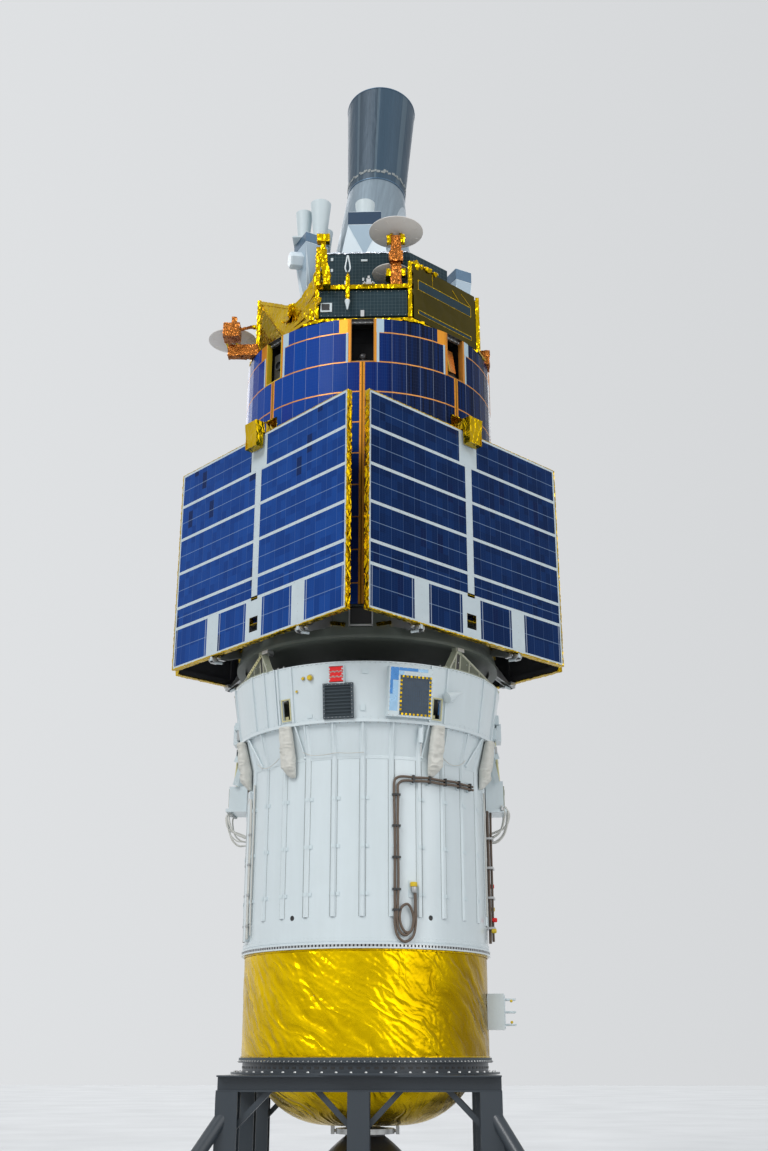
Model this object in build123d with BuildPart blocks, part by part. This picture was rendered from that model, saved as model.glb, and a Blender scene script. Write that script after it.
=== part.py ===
from build123d import *
import math
import os

# An early-warning style satellite standing on its two-stage transfer booster, on a display stand.
# Millimetres. Z = 0 is the floor, the axis of the stack is X = Y = 0, and -Y is the front.
# An azimuth is in degrees, 0 at the front and growing towards +X.

os.makedirs("parts", exist_ok=True)

# Heights of the stack, from the floor
beam_low = 1330
beam_high = 1470
band_low = 1600
band_high = 2580
flange_high = 2630
flare_low = 4410
flare_high = 4720
equipment_low = 4750
equipment_high = 5320
satellite_low = 5570
drum_low = 5930
drum_high = 9240
deck_low = 9330
deck_middle = 9700
deck_high = 10050
platform_high = 10520

# Radii and plan sizes of the stack
band_radius = 1236
skin_radius = 1254
flange_radius = 1271
flare_ring_radius = 1375
equipment_radius_low = 1360
equipment_radius_high = 1443
wall_slope = math.degrees(
    math.atan((equipment_radius_high - equipment_radius_low) / (equipment_high - equipment_low))
)
skin = 14
drum_radius = 1445
drum_facets = 56
deck_half = 1260
deck_flat_half = 521

# Rocket motors: closed heavy masses
first_motor_radius = 1150
second_motor_radius = 805

# Solar paddles, hinged along their lower edges
paddle_width = 2880
paddle_height = 2340
paddle_thickness = 50
paddle_inner = 1546
paddle_low = 5640
paddle_middle = paddle_inner + paddle_thickness / 2
hinge_drop = 40
hinge_z = paddle_low - hinge_drop
hinge_offset = 725
pin_radius = 12
pin_gap = 0.1
knuckle_radius = 26
knuckle_half = 18
cheek = 14
cheek_gap = 5

# name, azimuth
paddles = [
    ("paddle_front_left", -45),
    ("paddle_front_right", 45),
    ("paddle_rear_right", 135),
    ("paddle_rear_left", 225),
]


def outward(azimuth, distance, z):
    """Vertical plane facing outwards; x to the right and y up as seen from outside."""
    a = math.radians(azimuth)
    return Plane(
        origin=(distance * math.sin(a), -distance * math.cos(a), z),
        x_dir=(math.cos(a), math.sin(a), 0),
        z_dir=(math.sin(a), -math.cos(a), 0),
    )


def edge_on(azimuth, right):
    """Vertical radial plane; x outwards from the axis and y up, set off to the right."""
    a = math.radians(azimuth)
    return Plane(
        origin=(right * math.cos(a), right * math.sin(a), 0),
        x_dir=(math.sin(a), -math.cos(a), 0),
        z_dir=(-math.cos(a), -math.sin(a), 0),
    )


def ring_section(bands):
    """Rectangles of a turned section, each inner radius, outer radius, low, high."""
    for inner, outer, low, high in bands:
        with Locations(((inner + outer) / 2, (low + high) / 2)):
            Rectangle(outer - inner, high - low)


def i_section(height, width, flange, web):
    """Rolled I section, upright."""
    Rectangle(width, height)
    with Locations(((width + web) / 4, 0), (-(width + web) / 4, 0)):
        Rectangle((width - web) / 2, height - 2 * flange, mode=Mode.SUBTRACT)


def wall_plane(azimuth, z):
    """Plane on the equipment section's coned wall; y up the wall."""
    a = math.radians(azimuth)
    radius = equipment_radius_low + (z - equipment_low) * math.tan(math.radians(wall_slope))
    lean = math.radians(wall_slope)
    return Plane(
        origin=(radius * math.sin(a), -radius * math.cos(a), z),
        x_dir=(math.cos(a), math.sin(a), 0),
        z_dir=(math.sin(a) * math.cos(lean), -math.cos(a) * math.cos(lean), -math.sin(lean)),
    )


# Display stand

post_reach = 1190
post_size = 200
post_flange = 14
post_web = 10
foot_reach = 1900
foot_size = 300
foot_thickness = 20
foot_bolt_spacing = 220
foot_bolt_radius = 11
outrigger_radius = 65
outrigger_high = 1180
beam_height = beam_high - beam_low
beam_width = 180

with BuildPart() as stand_ring:
    with BuildSketch(Plane.XZ):
        ring_section(
            [
                (1130, 1262, 1575, band_low),
                (1190, 1222, 1490, 1575),
                (1125, 1335, beam_high, 1490),
            ]
        )
    revolve(axis=Axis.Z)
stand_ring.part.label = "stand_ring"
export_step(stand_ring.part, "parts/stand_ring.step")

long_half = post_reach + post_size / 2
with BuildPart() as stand_long_beams:
    for y in (-post_reach, post_reach):
        with BuildSketch(Plane.YZ.offset(-long_half)):
            with Locations((y, (beam_low + beam_high) / 2)):
                i_section(beam_height, beam_width, post_flange, post_web)
        extrude(amount=2 * long_half)
stand_long_beams.part.label = "stand_long_beams"
export_step(stand_long_beams.part, "parts/stand_long_beams.step")

cross_half = post_reach - beam_width / 2
with BuildPart() as stand_cross_beams:
    for x in (-post_reach, post_reach):
        with BuildSketch(Plane.XZ.offset(-cross_half)):
            with Locations((x, (beam_low + beam_high) / 2)):
                i_section(beam_height, beam_width, post_flange, post_web)
        extrude(amount=2 * cross_half)
stand_cross_beams.part.label = "stand_cross_beams"
export_step(stand_cross_beams.part, "parts/stand_cross_beams.step")

# x, y of the corner and middle posts
post_places = [
    (-post_reach, -post_reach),
    (post_reach, -post_reach),
    (-post_reach, post_reach),
    (post_reach, post_reach),
    (0, -post_reach),
    (0, post_reach),
    (-post_reach, 0),
    (post_reach, 0),
]
with BuildPart() as stand_posts:
    for x, y in post_places:
        with BuildSketch(Plane.XY):
            with Locations((x, y)):
                Rectangle(foot_size, foot_size)
                with GridLocations(foot_bolt_spacing, foot_bolt_spacing, 2, 2):
                    Circle(foot_bolt_radius, mode=Mode.SUBTRACT)
        extrude(amount=foot_thickness)
        with BuildSketch(Plane.XY.offset(foot_thickness)):
            with Locations((x, y)):
                i_section(post_size, post_size, post_flange, post_web)
        extrude(amount=beam_low - foot_thickness)
stand_posts.part.label = "stand_posts"
export_step(stand_posts.part, "parts/stand_posts.step")

# Slanted braces between the posts' webs and the front and rear beams
# x of the post, side of it that the brace is on
brace_table = [(-post_reach, 1), (0, -1), (0, 1), (post_reach, -1)]
brace_reach = 400
brace_width = 50
brace_slant = brace_width * math.sqrt(2)
with BuildPart() as stand_braces:
    for post_x, side in brace_table:
        foot = post_x + side * post_web / 2
        for y in (-post_reach, post_reach):
            with BuildSketch(Plane.XZ.offset(-y)):
                Polygon(
                    (foot, beam_low - brace_reach),
                    (foot + side * brace_reach, beam_low),
                    (foot + side * (brace_reach - brace_slant), beam_low),
                    (foot, beam_low - brace_reach + brace_slant),
                    align=None,
                )
            extrude(amount=brace_width / 2, both=True)
stand_braces.part.label = "stand_braces"
export_step(stand_braces.part, "parts/stand_braces.step")

# Round tubes from each corner post down to a plate further out, coped round the post
tube_top_radius = post_reach * math.sqrt(2)
tube_foot_radius = foot_reach * math.sqrt(2)
tube_length = math.hypot(tube_foot_radius - tube_top_radius, outrigger_high - foot_thickness)
tube_spare = 120
with BuildPart() as stand_outriggers:
    for azimuth in (45, 135, 225, 315):
        radial = edge_on(azimuth, 0)
        foot_point = radial.from_local_coords((tube_foot_radius, foot_thickness, 0))
        top_point = radial.from_local_coords((tube_top_radius, outrigger_high, 0))
        with BuildSketch(Plane(origin=foot_point, z_dir=top_point - foot_point).offset(-tube_spare)):
            Circle(outrigger_radius)
        extrude(amount=tube_length + tube_spare)
    for x, y in post_places[:4]:
        with Locations((x, y, beam_low / 2)):
            Box(post_size, post_size, beam_low, mode=Mode.SUBTRACT)
    with Locations((0, 0, foot_thickness - tube_spare)):
        Box(3 * foot_reach, 3 * foot_reach, 2 * tube_spare, mode=Mode.SUBTRACT)
    for x in (-foot_reach, foot_reach):
        for y in (-foot_reach, foot_reach):
            with BuildSketch(Plane.XY):
                with Locations((x, y)):
                    Rectangle(foot_size, foot_size)
                    with GridLocations(foot_bolt_spacing, foot_bolt_spacing, 2, 2):
                        Circle(foot_bolt_radius, mode=Mode.SUBTRACT)
            extrude(amount=foot_thickness)
stand_outriggers.part.label = "stand_outriggers"
export_step(stand_outriggers.part, "parts/stand_outriggers.step")

# Booster: gold-wrapped aft skirt, motor and nozzle

skirt_wall = 22
blanket = 12
with BuildPart() as aft_skirt:
    with BuildSketch(Plane.XZ):
        ring_section(
            [
                (band_radius - blanket - skirt_wall, band_radius - blanket, band_low, band_high),
                (1160, 1256, band_low, band_low + 20),
                (1160, band_radius - blanket, band_high - 20, band_high),
            ]
        )
    revolve(axis=Axis.Z)
aft_skirt.part.label = "aft_skirt"
export_step(aft_skirt.part, "parts/aft_skirt.step")

with BuildPart() as skirt_blanket:
    with BuildSketch(Plane.XZ):
        ring_section([(band_radius - blanket, band_radius, band_low + 20, band_high)])
    revolve(axis=Axis.Z)
skirt_blanket.part.label = "skirt_blanket"
export_step(skirt_blanket.part, "parts/skirt_blanket.step")

with BuildPart() as aft_flange:
    with BuildSketch(Plane.XZ):
        ring_section(
            [
                (first_motor_radius, flange_radius, band_high, band_high + 14),
                (first_motor_radius, flange_radius, flange_high - 14, flange_high),
                (first_motor_radius, flange_radius - 16, band_high + 14, flange_high - 14),
            ]
        )
    revolve(axis=Axis.Z)
aft_flange.part.label = "aft_flange"
export_step(aft_flange.part, "parts/aft_flange.step")

# Domed case; the aft dome shows through the stand
throat_radius = 300
dome_high = 1750
dome_low = 1010
case_high = 3500
with BuildPart() as first_motor:
    with BuildSketch(Plane.XZ):
        with BuildLine():
            dome_start = (first_motor_radius, dome_high)
            neck = (throat_radius, dome_low)
            ThreePointArc(dome_start, (930, 1240), neck)
            Polyline(
                neck,
                (0, dome_low),
                (0, case_high + 480),
                (throat_radius, case_high + 480),
            )
            ThreePointArc(
                (throat_radius, case_high + 480), (850, case_high + 320), (first_motor_radius, case_high)
            )
            Line((first_motor_radius, case_high), dome_start)
        make_face()
    revolve(axis=Axis.Z)
first_motor.part.label = "first_motor"
export_step(first_motor.part, "parts/first_motor.step")

# Nozzle on a two-way gimbal ring: the ring tips about X and the exit cone about Y
gimbal_z = 950
gimbal_inner = 235
gimbal_outer = 288
gimbal_half = 24
trunnion_radius = 15
trunnion_gap = 0.1
lug_inner = 302
lug_outer = 336
collar_radius = 195
with BuildPart() as nozzle_lugs:
    for side in (-1, 1):
        with Locations((side * (lug_inner + lug_outer) / 2, 0, 1000)):
            Box(lug_outer - lug_inner, 70, 160)
    with BuildSketch(Plane.YZ):
        with Locations((0, gimbal_z)):
            Circle(trunnion_radius + trunnion_gap)
    extrude(amount=lug_outer + 1, both=True, mode=Mode.SUBTRACT)
    add(first_motor.part, mode=Mode.SUBTRACT)
nozzle_lugs.part.label = "nozzle_lugs"
export_step(nozzle_lugs.part, "parts/nozzle_lugs.step")

with BuildPart() as gimbal_ring:
    with BuildSketch(Plane.XZ):
        ring_section([(gimbal_inner, gimbal_outer, gimbal_z - gimbal_half, gimbal_z + gimbal_half)])
    revolve(axis=Axis.Z)
    with BuildSketch(Plane.XZ):
        with Locations((0, gimbal_z)):
            Circle(trunnion_radius + trunnion_gap)
    extrude(amount=gimbal_outer + 1, both=True, mode=Mode.SUBTRACT)
    for side in (-1, 1):
        with BuildSketch(Plane.YZ.offset(side * (gimbal_outer - 8))):
            with Locations((0, gimbal_z)):
                Circle(trunnion_radius)
        extrude(amount=side * (lug_outer - gimbal_outer + 8))
gimbal_ring.part.label = "gimbal_ring"
export_step(gimbal_ring.part, "parts/gimbal_ring.step")

nozzle_exit = 330
nozzle_exit_radius = 640
nozzle_waist = (430, 690)
nozzle_wall = 24
collar_low = 905
collar_high = 982
with BuildPart() as exit_cone:
    with BuildSketch(Plane.XZ):
        with BuildLine():
            ThreePointArc((collar_radius, collar_low), nozzle_waist, (nozzle_exit_radius, nozzle_exit))
            Line((nozzle_exit_radius, nozzle_exit), (nozzle_exit_radius - nozzle_wall, nozzle_exit))
            ThreePointArc(
                (nozzle_exit_radius - nozzle_wall, nozzle_exit),
                (nozzle_waist[0] - nozzle_wall, nozzle_waist[1]),
                (collar_radius - nozzle_wall, collar_low - 25),
            )
            Polyline(
                (collar_radius - nozzle_wall, collar_low - 25),
                (0, collar_low - 25),
                (0, collar_high),
                (collar_radius, collar_high),
                (collar_radius, collar_low),
            )
        make_face()
    revolve(axis=Axis.Z)
    for side in (-1, 1):
        with BuildSketch(Plane.XZ.offset(side * (collar_radius - 20))):
            with Locations((0, gimbal_z)):
                Circle(trunnion_radius)
        extrude(amount=side * (gimbal_outer - collar_radius + 14))
exit_cone.part.label = "exit_cone"
export_step(exit_cone.part, "parts/exit_cone.step")

# Ribbed interstage and its flare

rib_count = 28
rib_start = 1
rib_low = 2870
rib_depth = 18
rib_width = 16
access_hole_radius = 25
with BuildPart() as interstage:
    with BuildSketch(Plane.XZ):
        ring_section(
            [
                (skin_radius - skin, skin_radius, flange_high, flare_low),
                (1160, skin_radius, flange_high, flange_high + 16),
                (1180, skin_radius, flare_low - 16, flare_low),
            ]
        )
    revolve(axis=Axis.Z)
    with Locations((0, 0, (rib_low + flare_low) / 2)):
        with PolarLocations(skin_radius, rib_count, start_angle=rib_start - 90):
            Box(2 * rib_depth, rib_width, flare_low - rib_low)
    for azimuth in (-31.7, 32.3, 148, 212):
        with BuildSketch(outward(azimuth, skin_radius - 3 * skin, rib_low)):
            Circle(access_hole_radius)
        extrude(amount=6 * skin, mode=Mode.SUBTRACT)
interstage.part.label = "interstage"
export_step(interstage.part, "parts/interstage.step")

flare_top_radius = 1330
with BuildPart() as interstage_flare:
    with BuildSketch(Plane.XZ):
        Polygon(
            (skin_radius - skin, flare_low),
            (skin_radius, flare_low),
            (flare_top_radius, flare_high),
            (flare_top_radius - skin, flare_high),
            align=None,
        )
        ring_section([(flare_top_radius - 60, flare_ring_radius, flare_high, equipment_low)])
    revolve(axis=Axis.Z)
    for step in range(rib_count):
        with BuildSketch(edge_on(rib_start + step * 360 / rib_count, 0)):
            Polygon(
                (skin_radius - skin / 2, flare_low),
                (skin_radius + rib_depth, flare_low),
                (flare_ring_radius - 12, flare_high),
                (flare_top_radius - skin / 2, flare_high),
                align=None,
            )
        extrude(amount=rib_width / 2, both=True)
interstage_flare.part.label = "interstage_flare"
export_step(interstage_flare.part, "parts/interstage_flare.step")

# Equipment section: coned wall with four framed inspection slots and upright stiffeners

slot_width = 88
slot_height = 196
slot_low = 4792
slot_rim = 24
slot_azimuths = (-33, 33, 147, 213)
stiffener_depth = 15
stiffener_width = 14
stiffener_azimuths = (-53, -44.5, -38.2, 60, 75, 105, 120, 160, 172, 188, 200, 225, 240, 255, 270, 285)
with BuildPart() as equipment_section:
    with BuildSketch(Plane.XZ):
        Polygon(
            (equipment_radius_low - skin, equipment_low),
            (equipment_radius_low, equipment_low),
            (equipment_radius_high, equipment_high),
            (equipment_radius_high - skin, equipment_high),
            align=None,
        )
        ring_section(
            [
                (equipment_radius_high - 90, equipment_radius_high, equipment_high - 18, equipment_high),
                (equipment_radius_low - 70, equipment_radius_low, equipment_low, equipment_low + 16),
            ]
        )
    revolve(axis=Axis.Z)
    for azimuth in stiffener_azimuths:
        with BuildSketch(edge_on(azimuth, 0)):
            Polygon(
                (equipment_radius_low - skin / 2, equipment_low),
                (equipment_radius_low + stiffener_depth, equipment_low),
                (equipment_radius_high + stiffener_depth, equipment_high),
                (equipment_radius_high - skin / 2, equipment_high),
                align=None,
            )
        extrude(amount=stiffener_width / 2, both=True)
    for azimuth in slot_azimuths:
        with BuildSketch(wall_plane(azimuth, slot_low + slot_height / 2).offset(-skin / 2)):
            RectangleRounded(slot_width + 2 * slot_rim, slot_height + 2 * slot_rim, slot_rim / 2)
        extrude(amount=skin / 2 + 9)
        with BuildSketch(outward(azimuth, equipment_radius_low - 150, slot_low)):
            with Locations((0, slot_height / 2)):
                Rectangle(slot_width, slot_height)
        extrude(amount=300, mode=Mode.SUBTRACT)
equipment_section.part.label = "equipment_section"
export_step(equipment_section.part, "parts/equipment_section.step")

with BuildPart() as equipment_deck:
    with BuildSketch(Plane.XZ):
        ring_section([(second_motor_radius, equipment_radius_low - 30, 4780, 4796)])
    revolve(axis=Axis.Z)
equipment_deck.part.label = "equipment_deck"
export_step(equipment_deck.part, "parts/equipment_deck.step")

with BuildPart() as second_motor:
    with BuildSketch(Plane.XZ):
        with BuildLine():
            ThreePointArc((second_motor_radius, 5200), (600, 5420), (150, 5500))
            Polyline((150, 5500), (0, 5500), (0, 4200), (150, 4200))
            ThreePointArc((150, 4200), (600, 4300), (second_motor_radius, 4540))
            Line((second_motor_radius, 4540), (second_motor_radius, 5200))
        make_face()
    revolve(axis=Axis.Z)
second_motor.part.label = "second_motor"
export_step(second_motor.part, "parts/second_motor.step")

# Equipment on both sides of the flare: stacked boxes on the skin and a tray on the coned wall above
# azimuth, low, high, width, depth from the skin's radius
side_table = [
    (-91, 4060, 4092, 350, 230),
    (-91, 4092, 4330, 320, 200),
    (-91, 4330, 4640, 200, 128),
    (-91, 4800, 5010, 190, 190),
    (-91, 5010, 5120, 110, 160),
    (89, 4030, 4064, 330, 225),
    (89, 4064, 4360, 300, 196),
    (89, 4360, 4650, 170, 128),
    (89, 4800, 4990, 200, 195),
    (89, 4990, 5140, 90, 160),
]
side_gap = 1
with BuildPart() as side_boxes:
    for azimuth, low, high, width, depth in side_table:
        with BuildSketch(outward(azimuth, skin_radius - 4, low)):
            with Locations((0, (high - low) / 2)):
                Rectangle(width, high - low)
        extrude(amount=depth + 4)
    with BuildSketch(Plane.XZ):
        Polygon(
            (0, rib_low),
            (skin_radius + rib_depth + side_gap, rib_low),
            (skin_radius + rib_depth + side_gap, flare_low),
            (flare_ring_radius - 10, flare_high),
            (equipment_radius_low + stiffener_depth + side_gap, equipment_low),
            (equipment_radius_high + stiffener_depth + side_gap, equipment_high),
            (0, equipment_high),
            align=None,
        )
    revolve(axis=Axis.Z, mode=Mode.SUBTRACT)
side_boxes.part.label = "side_boxes"
export_step(side_boxes.part, "parts/side_boxes.step")

# Feet that carry the satellite: a webbed triangle between a curved sole on the ring and an apex block
# azimuth of the apex, azimuths of the near and far ends of the sole
trusses = [(44, 37, 83), (-48, -41, -87), (136, 143, 97), (-136, -143, -97)]
truss_apex_radius = 1395
truss_base_radius = 1432
truss_half = 30
truss_web = 4
truss_rim = 20
apex_half = 42
apex_block = 70
sole_thickness = 12
sole_inner = 1290
# places of the upright webs, as fractions of the sole's length
truss_uprights = (0.22, 0.36, 0.56, 0.76)
with BuildPart() as adapter_trusses:
    for apex, near, far in trusses:
        near_point = outward(near, truss_base_radius, equipment_high).origin
        far_point = outward(far, truss_base_radius, equipment_high).origin
        apex_point = outward(apex, truss_apex_radius, satellite_low - apex_block / 2).origin
        along = (far_point - near_point).normalized()
        face = Plane(origin=near_point, x_dir=along, z_dir=along.cross(apex_point - near_point))
        span = (far_point - near_point).length
        tip = face.to_local_coords(apex_point)
        with BuildSketch(face) as triangle:
            Polygon((0, 0), (span, 0), (tip.X + apex_half, tip.Y), (tip.X - apex_half, tip.Y), align=None)
        extrude(triangle.sketch, amount=truss_half, both=True)
        with BuildSketch(face) as bays:
            add(triangle.sketch_local)
            offset(amount=-truss_rim, kind=Kind.INTERSECTION)
            for fraction in truss_uprights:
                with Locations((fraction * span, 0)):
                    Rectangle(truss_rim / 2, 3 * tip.Y, mode=Mode.SUBTRACT)
        for side in (-1, 1):
            extrude(
                [one.moved(Location(face.z_dir * side * truss_web)) for one in bays.sketch.faces()],
                amount=side * truss_half,
                dir=face.z_dir,
                mode=Mode.SUBTRACT,
            )
        with BuildSketch(outward(apex, truss_apex_radius, satellite_low - apex_block)):
            with Locations((0, apex_block / 2)):
                Rectangle(2 * apex_half, apex_block)
        extrude(amount=truss_half, both=True)
        middle = math.radians((near + far) / 2 - 90)
        half_sweep = abs(far - near) / 2
        with BuildSketch(Plane.XY.offset(equipment_high)):
            Circle(equipment_radius_high)
            Circle(sole_inner, mode=Mode.SUBTRACT)
            wedge = [
                (3 * sole_inner * math.cos(middle + math.radians(turn)),
                 3 * sole_inner * math.sin(middle + math.radians(turn)))
                for turn in (-half_sweep - 2, half_sweep + 2)
            ]
            Polygon((0, 0), *wedge, align=None, mode=Mode.INTERSECT)
        extrude(amount=sole_thickness)
    with Locations((0, 0, equipment_high - 150)):
        Cylinder(2000, 300, mode=Mode.SUBTRACT)
    with Locations((0, 0, satellite_low + 150)):
        Cylinder(2000, 300, mode=Mode.SUBTRACT)
adapter_trusses.part.label = "adapter_trusses"
export_step(adapter_trusses.part, "parts/adapter_trusses.step")

# Satellite: aft body, hinge arms, solar drum

aft_body_radius = 1400
aft_body_outline = [
    (0, satellite_low + 40),
    (1340, satellite_low + 40),
    (1340, satellite_low),
    (1430, satellite_low),
    (1430, satellite_low + 30),
    (aft_body_radius, 5700),
    (aft_body_radius, drum_low),
    (0, drum_low),
]
with BuildPart() as aft_body:
    with BuildSketch(Plane.XZ):
        Polygon(*aft_body_outline, align=None)
    revolve(axis=Axis.Z)
    with BuildSketch(outward(0, aft_body_radius - 20, 5692)):
        with Locations((0, 110)):
            RectangleRounded(256, 220, 14)
    extrude(amount=34)
    with BuildSketch(outward(0, aft_body_radius - 120, 5705)):
        with Locations((0, 110)):
            Rectangle(220, 190)
    extrude(amount=200, mode=Mode.SUBTRACT)
aft_body.part.label = "aft_body"
export_step(aft_body.part, "parts/aft_body.step")

arm_root = 1180
with BuildPart() as hinge_arms:
    for name, azimuth in paddles:
        for shift in (-hinge_offset, hinge_offset):
            for side in (-1, 1):
                middle = shift + side * (knuckle_half + cheek_gap + cheek / 2)
                with BuildSketch(edge_on(azimuth, middle)):
                    Polygon(
                        (arm_root, 5700),
                        (paddle_middle, hinge_z - knuckle_radius),
                        (paddle_middle, hinge_z + knuckle_radius),
                        (paddle_inner - 60, paddle_low - 6),
                        (arm_root, 5860),
                        align=None,
                    )
                    with Locations((paddle_middle, hinge_z)):
                        Circle(knuckle_radius)
                extrude(amount=cheek / 2, both=True)
            with BuildSketch(edge_on(azimuth, shift)):
                with Locations((paddle_middle, hinge_z)):
                    Circle(pin_radius)
            extrude(amount=knuckle_half + cheek_gap + cheek + 6, both=True)
            with BuildSketch(edge_on(azimuth, shift)):
                Polygon(
                    (arm_root, 5720),
                    (1420, 5640),
                    (1420, 5680),
                    (arm_root, 5840),
                    align=None,
                )
            extrude(amount=knuckle_half + cheek_gap, both=True)
    with BuildSketch(Plane.XZ):
        Polygon(*aft_body_outline, align=None)
    revolve(axis=Axis.Z, mode=Mode.SUBTRACT)
hinge_arms.part.label = "hinge_arms"
export_step(hinge_arms.part, "parts/hinge_arms.step")

window_width = 262
window_low = 8700
window_depth = 240
with BuildPart() as solar_drum:
    with BuildSketch(Plane.XY.offset(drum_low)):
        RegularPolygon(drum_radius, drum_facets)
    extrude(amount=drum_high - drum_low)
    for step in range(8):
        with BuildSketch(outward(step * 45, drum_radius - window_depth, window_low)):
            with Locations((0, (drum_high - window_low) / 2)):
                Rectangle(window_width, drum_high - window_low)
        extrude(amount=2 * window_depth, mode=Mode.SUBTRACT)
solar_drum.part.label = "solar_drum"
export_step(solar_drum.part, "parts/solar_drum.step")

# Instruments behind the windows: azimuth, kind
window_table = [
    (0, "ball"),
    (45, "mirror"),
    (90, "ball"),
    (135, "box"),
    (180, "ball"),
    (225, "box"),
    (270, "ball"),
    (315, "box"),
]
ball_radius = 46
with BuildPart() as window_sensors:
    for azimuth, kind in window_table:
        floor_plane = outward(azimuth, drum_radius - window_depth, window_low)
        if kind == "ball":
            with BuildSketch(floor_plane):
                with Locations((0, 35)):
                    Rectangle(150, 70)
            extrude(amount=150)
            with BuildSketch(Plane(floor_plane.from_local_coords((0, 70, 100)), z_dir=(0, 0, 1))):
                Circle(24)
            extrude(amount=30)
            with Locations(floor_plane.from_local_coords((0, 130, 100))):
                Sphere(ball_radius)
        if kind == "mirror":
            with BuildSketch(floor_plane):
                with Locations((0, 40)):
                    Rectangle(180, 80)
            extrude(amount=165)
            lean_out = Plane(
                origin=floor_plane.from_local_coords((0, 75, 132)),
                x_dir=floor_plane.x_dir,
                z_dir=floor_plane.z_dir + Vector(0, 0, 0.35),
            )
            with BuildSketch(lean_out):
                with Locations((0, 150)):
                    RectangleRounded(170, 320, 12)
            extrude(amount=24)
        if kind == "box":
            with BuildSketch(floor_plane):
                with Locations((0, 200)):
                    RectangleRounded(190, 400, 14)
            extrude(amount=150)
            with BuildSketch(floor_plane.offset(150)):
                with Locations((0, 240)):
                    Circle(58)
            extrude(amount=26)
            with BuildSketch(floor_plane.offset(150)):
                with Locations((0, 240)):
                    Circle(46)
            extrude(amount=26, mode=Mode.SUBTRACT)
window_sensors.part.label = "window_sensors"
export_step(window_sensors.part, "parts/window_sensors.step")

# Solar paddles: framed panels with hinge knuckles under the lower edge

frame_margin = 70
pocket_depth = 22
pocket_columns = 4
# height above the lower edge, width, height of the openings near the foot of each panel
paddle_holes = [(180, 140, 160), (465, 110, 44)]
pocket_rows = 3
pocket_gap = 50
pocket_width = (paddle_width - 2 * frame_margin - (pocket_columns - 1) * pocket_gap) / pocket_columns
pocket_height = (paddle_height - 2 * frame_margin - (pocket_rows - 1) * pocket_gap) / pocket_rows
for name, azimuth in paddles:
    with BuildPart() as paddle:
        back = outward(azimuth, paddle_inner, paddle_low)
        with BuildSketch(back):
            with Locations((0, paddle_height / 2)):
                Rectangle(paddle_width, paddle_height)
        extrude(amount=paddle_thickness)
        with BuildSketch(back):
            with Locations((0, paddle_height / 2)):
                with GridLocations(
                    pocket_width + pocket_gap, pocket_height + pocket_gap, pocket_columns, pocket_rows
                ):
                    Rectangle(pocket_width, pocket_height)
        extrude(amount=pocket_depth, mode=Mode.SUBTRACT)
        with BuildSketch(back):
            for hole_z, hole_width, hole_height in paddle_holes:
                with Locations((0, hole_z)):
                    Rectangle(hole_width, hole_height)
        extrude(amount=paddle_thickness, mode=Mode.SUBTRACT)
        for shift in (-hinge_offset, hinge_offset):
            with BuildSketch(edge_on(azimuth, shift)):
                with Locations((paddle_middle, hinge_z)):
                    Circle(knuckle_radius)
                with Locations((paddle_middle, hinge_z + hinge_drop / 2 + 4)):
                    Rectangle(2 * knuckle_radius - 8, hinge_drop + 8)
                with Locations((paddle_middle, hinge_z)):
                    Circle(pin_radius + pin_gap, mode=Mode.SUBTRACT)
            extrude(amount=knuckle_half, both=True)
    paddle.part.label = name
    export_step(paddle.part, f"parts/{name}.step")

latch_low = paddle_low + paddle_height + 8
latch_half = 90
latch_wall = 9
with BuildPart() as paddle_latches:
    for name, azimuth in paddles:
        with BuildSketch(edge_on(azimuth, 0)):
            Polygon(
                (drum_radius - 4, latch_low + 30),
                (paddle_inner - 10, latch_low),
                (paddle_inner + paddle_thickness + 20, latch_low),
                (paddle_inner + paddle_thickness + 20, latch_low + 120),
                (drum_radius - 4, latch_low + 250),
                align=None,
            )
            offset(amount=-latch_wall, mode=Mode.SUBTRACT)
        extrude(amount=latch_half, both=True)
    with BuildSketch(Plane.XY.offset(drum_low)):
        RegularPolygon(drum_radius, drum_facets)
    extrude(amount=drum_high - drum_low, mode=Mode.SUBTRACT)
paddle_latches.part.label = "paddle_latches"
export_step(paddle_latches.part, "parts/paddle_latches.step")

# Payload deck

with BuildPart() as deck_base:
    with BuildSketch(Plane.XY.offset(drum_high)):
        RegularPolygon(1300, 8, major_radius=False, rotation=22.5)
    extrude(amount=deck_low - drum_high)
deck_base.part.label = "deck_base"
export_step(deck_base.part, "parts/deck_base.step")

platform_front = -800
with BuildPart() as payload_deck:
    with BuildSketch(Plane.XY.offset(deck_low)):
        Polygon(
            (-deck_flat_half, -deck_half),
            (deck_flat_half, -deck_half),
            (deck_half, -deck_flat_half),
            (deck_half, deck_flat_half),
            (deck_flat_half, deck_half),
            (-deck_flat_half, deck_half),
            align=None,
        )
    extrude(amount=deck_middle - deck_low)
    with BuildSketch(Plane.XY.offset(deck_middle)):
        Polygon(
            (-deck_flat_half, platform_front),
            (deck_flat_half, platform_front),
            (960, -400),
            (960, 400),
            (deck_flat_half, 830),
            (-deck_flat_half, 830),
            align=None,
        )
    extrude(amount=platform_high - deck_middle)
payload_deck.part.label = "payload_deck"
export_step(payload_deck.part, "parts/payload_deck.step")

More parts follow.
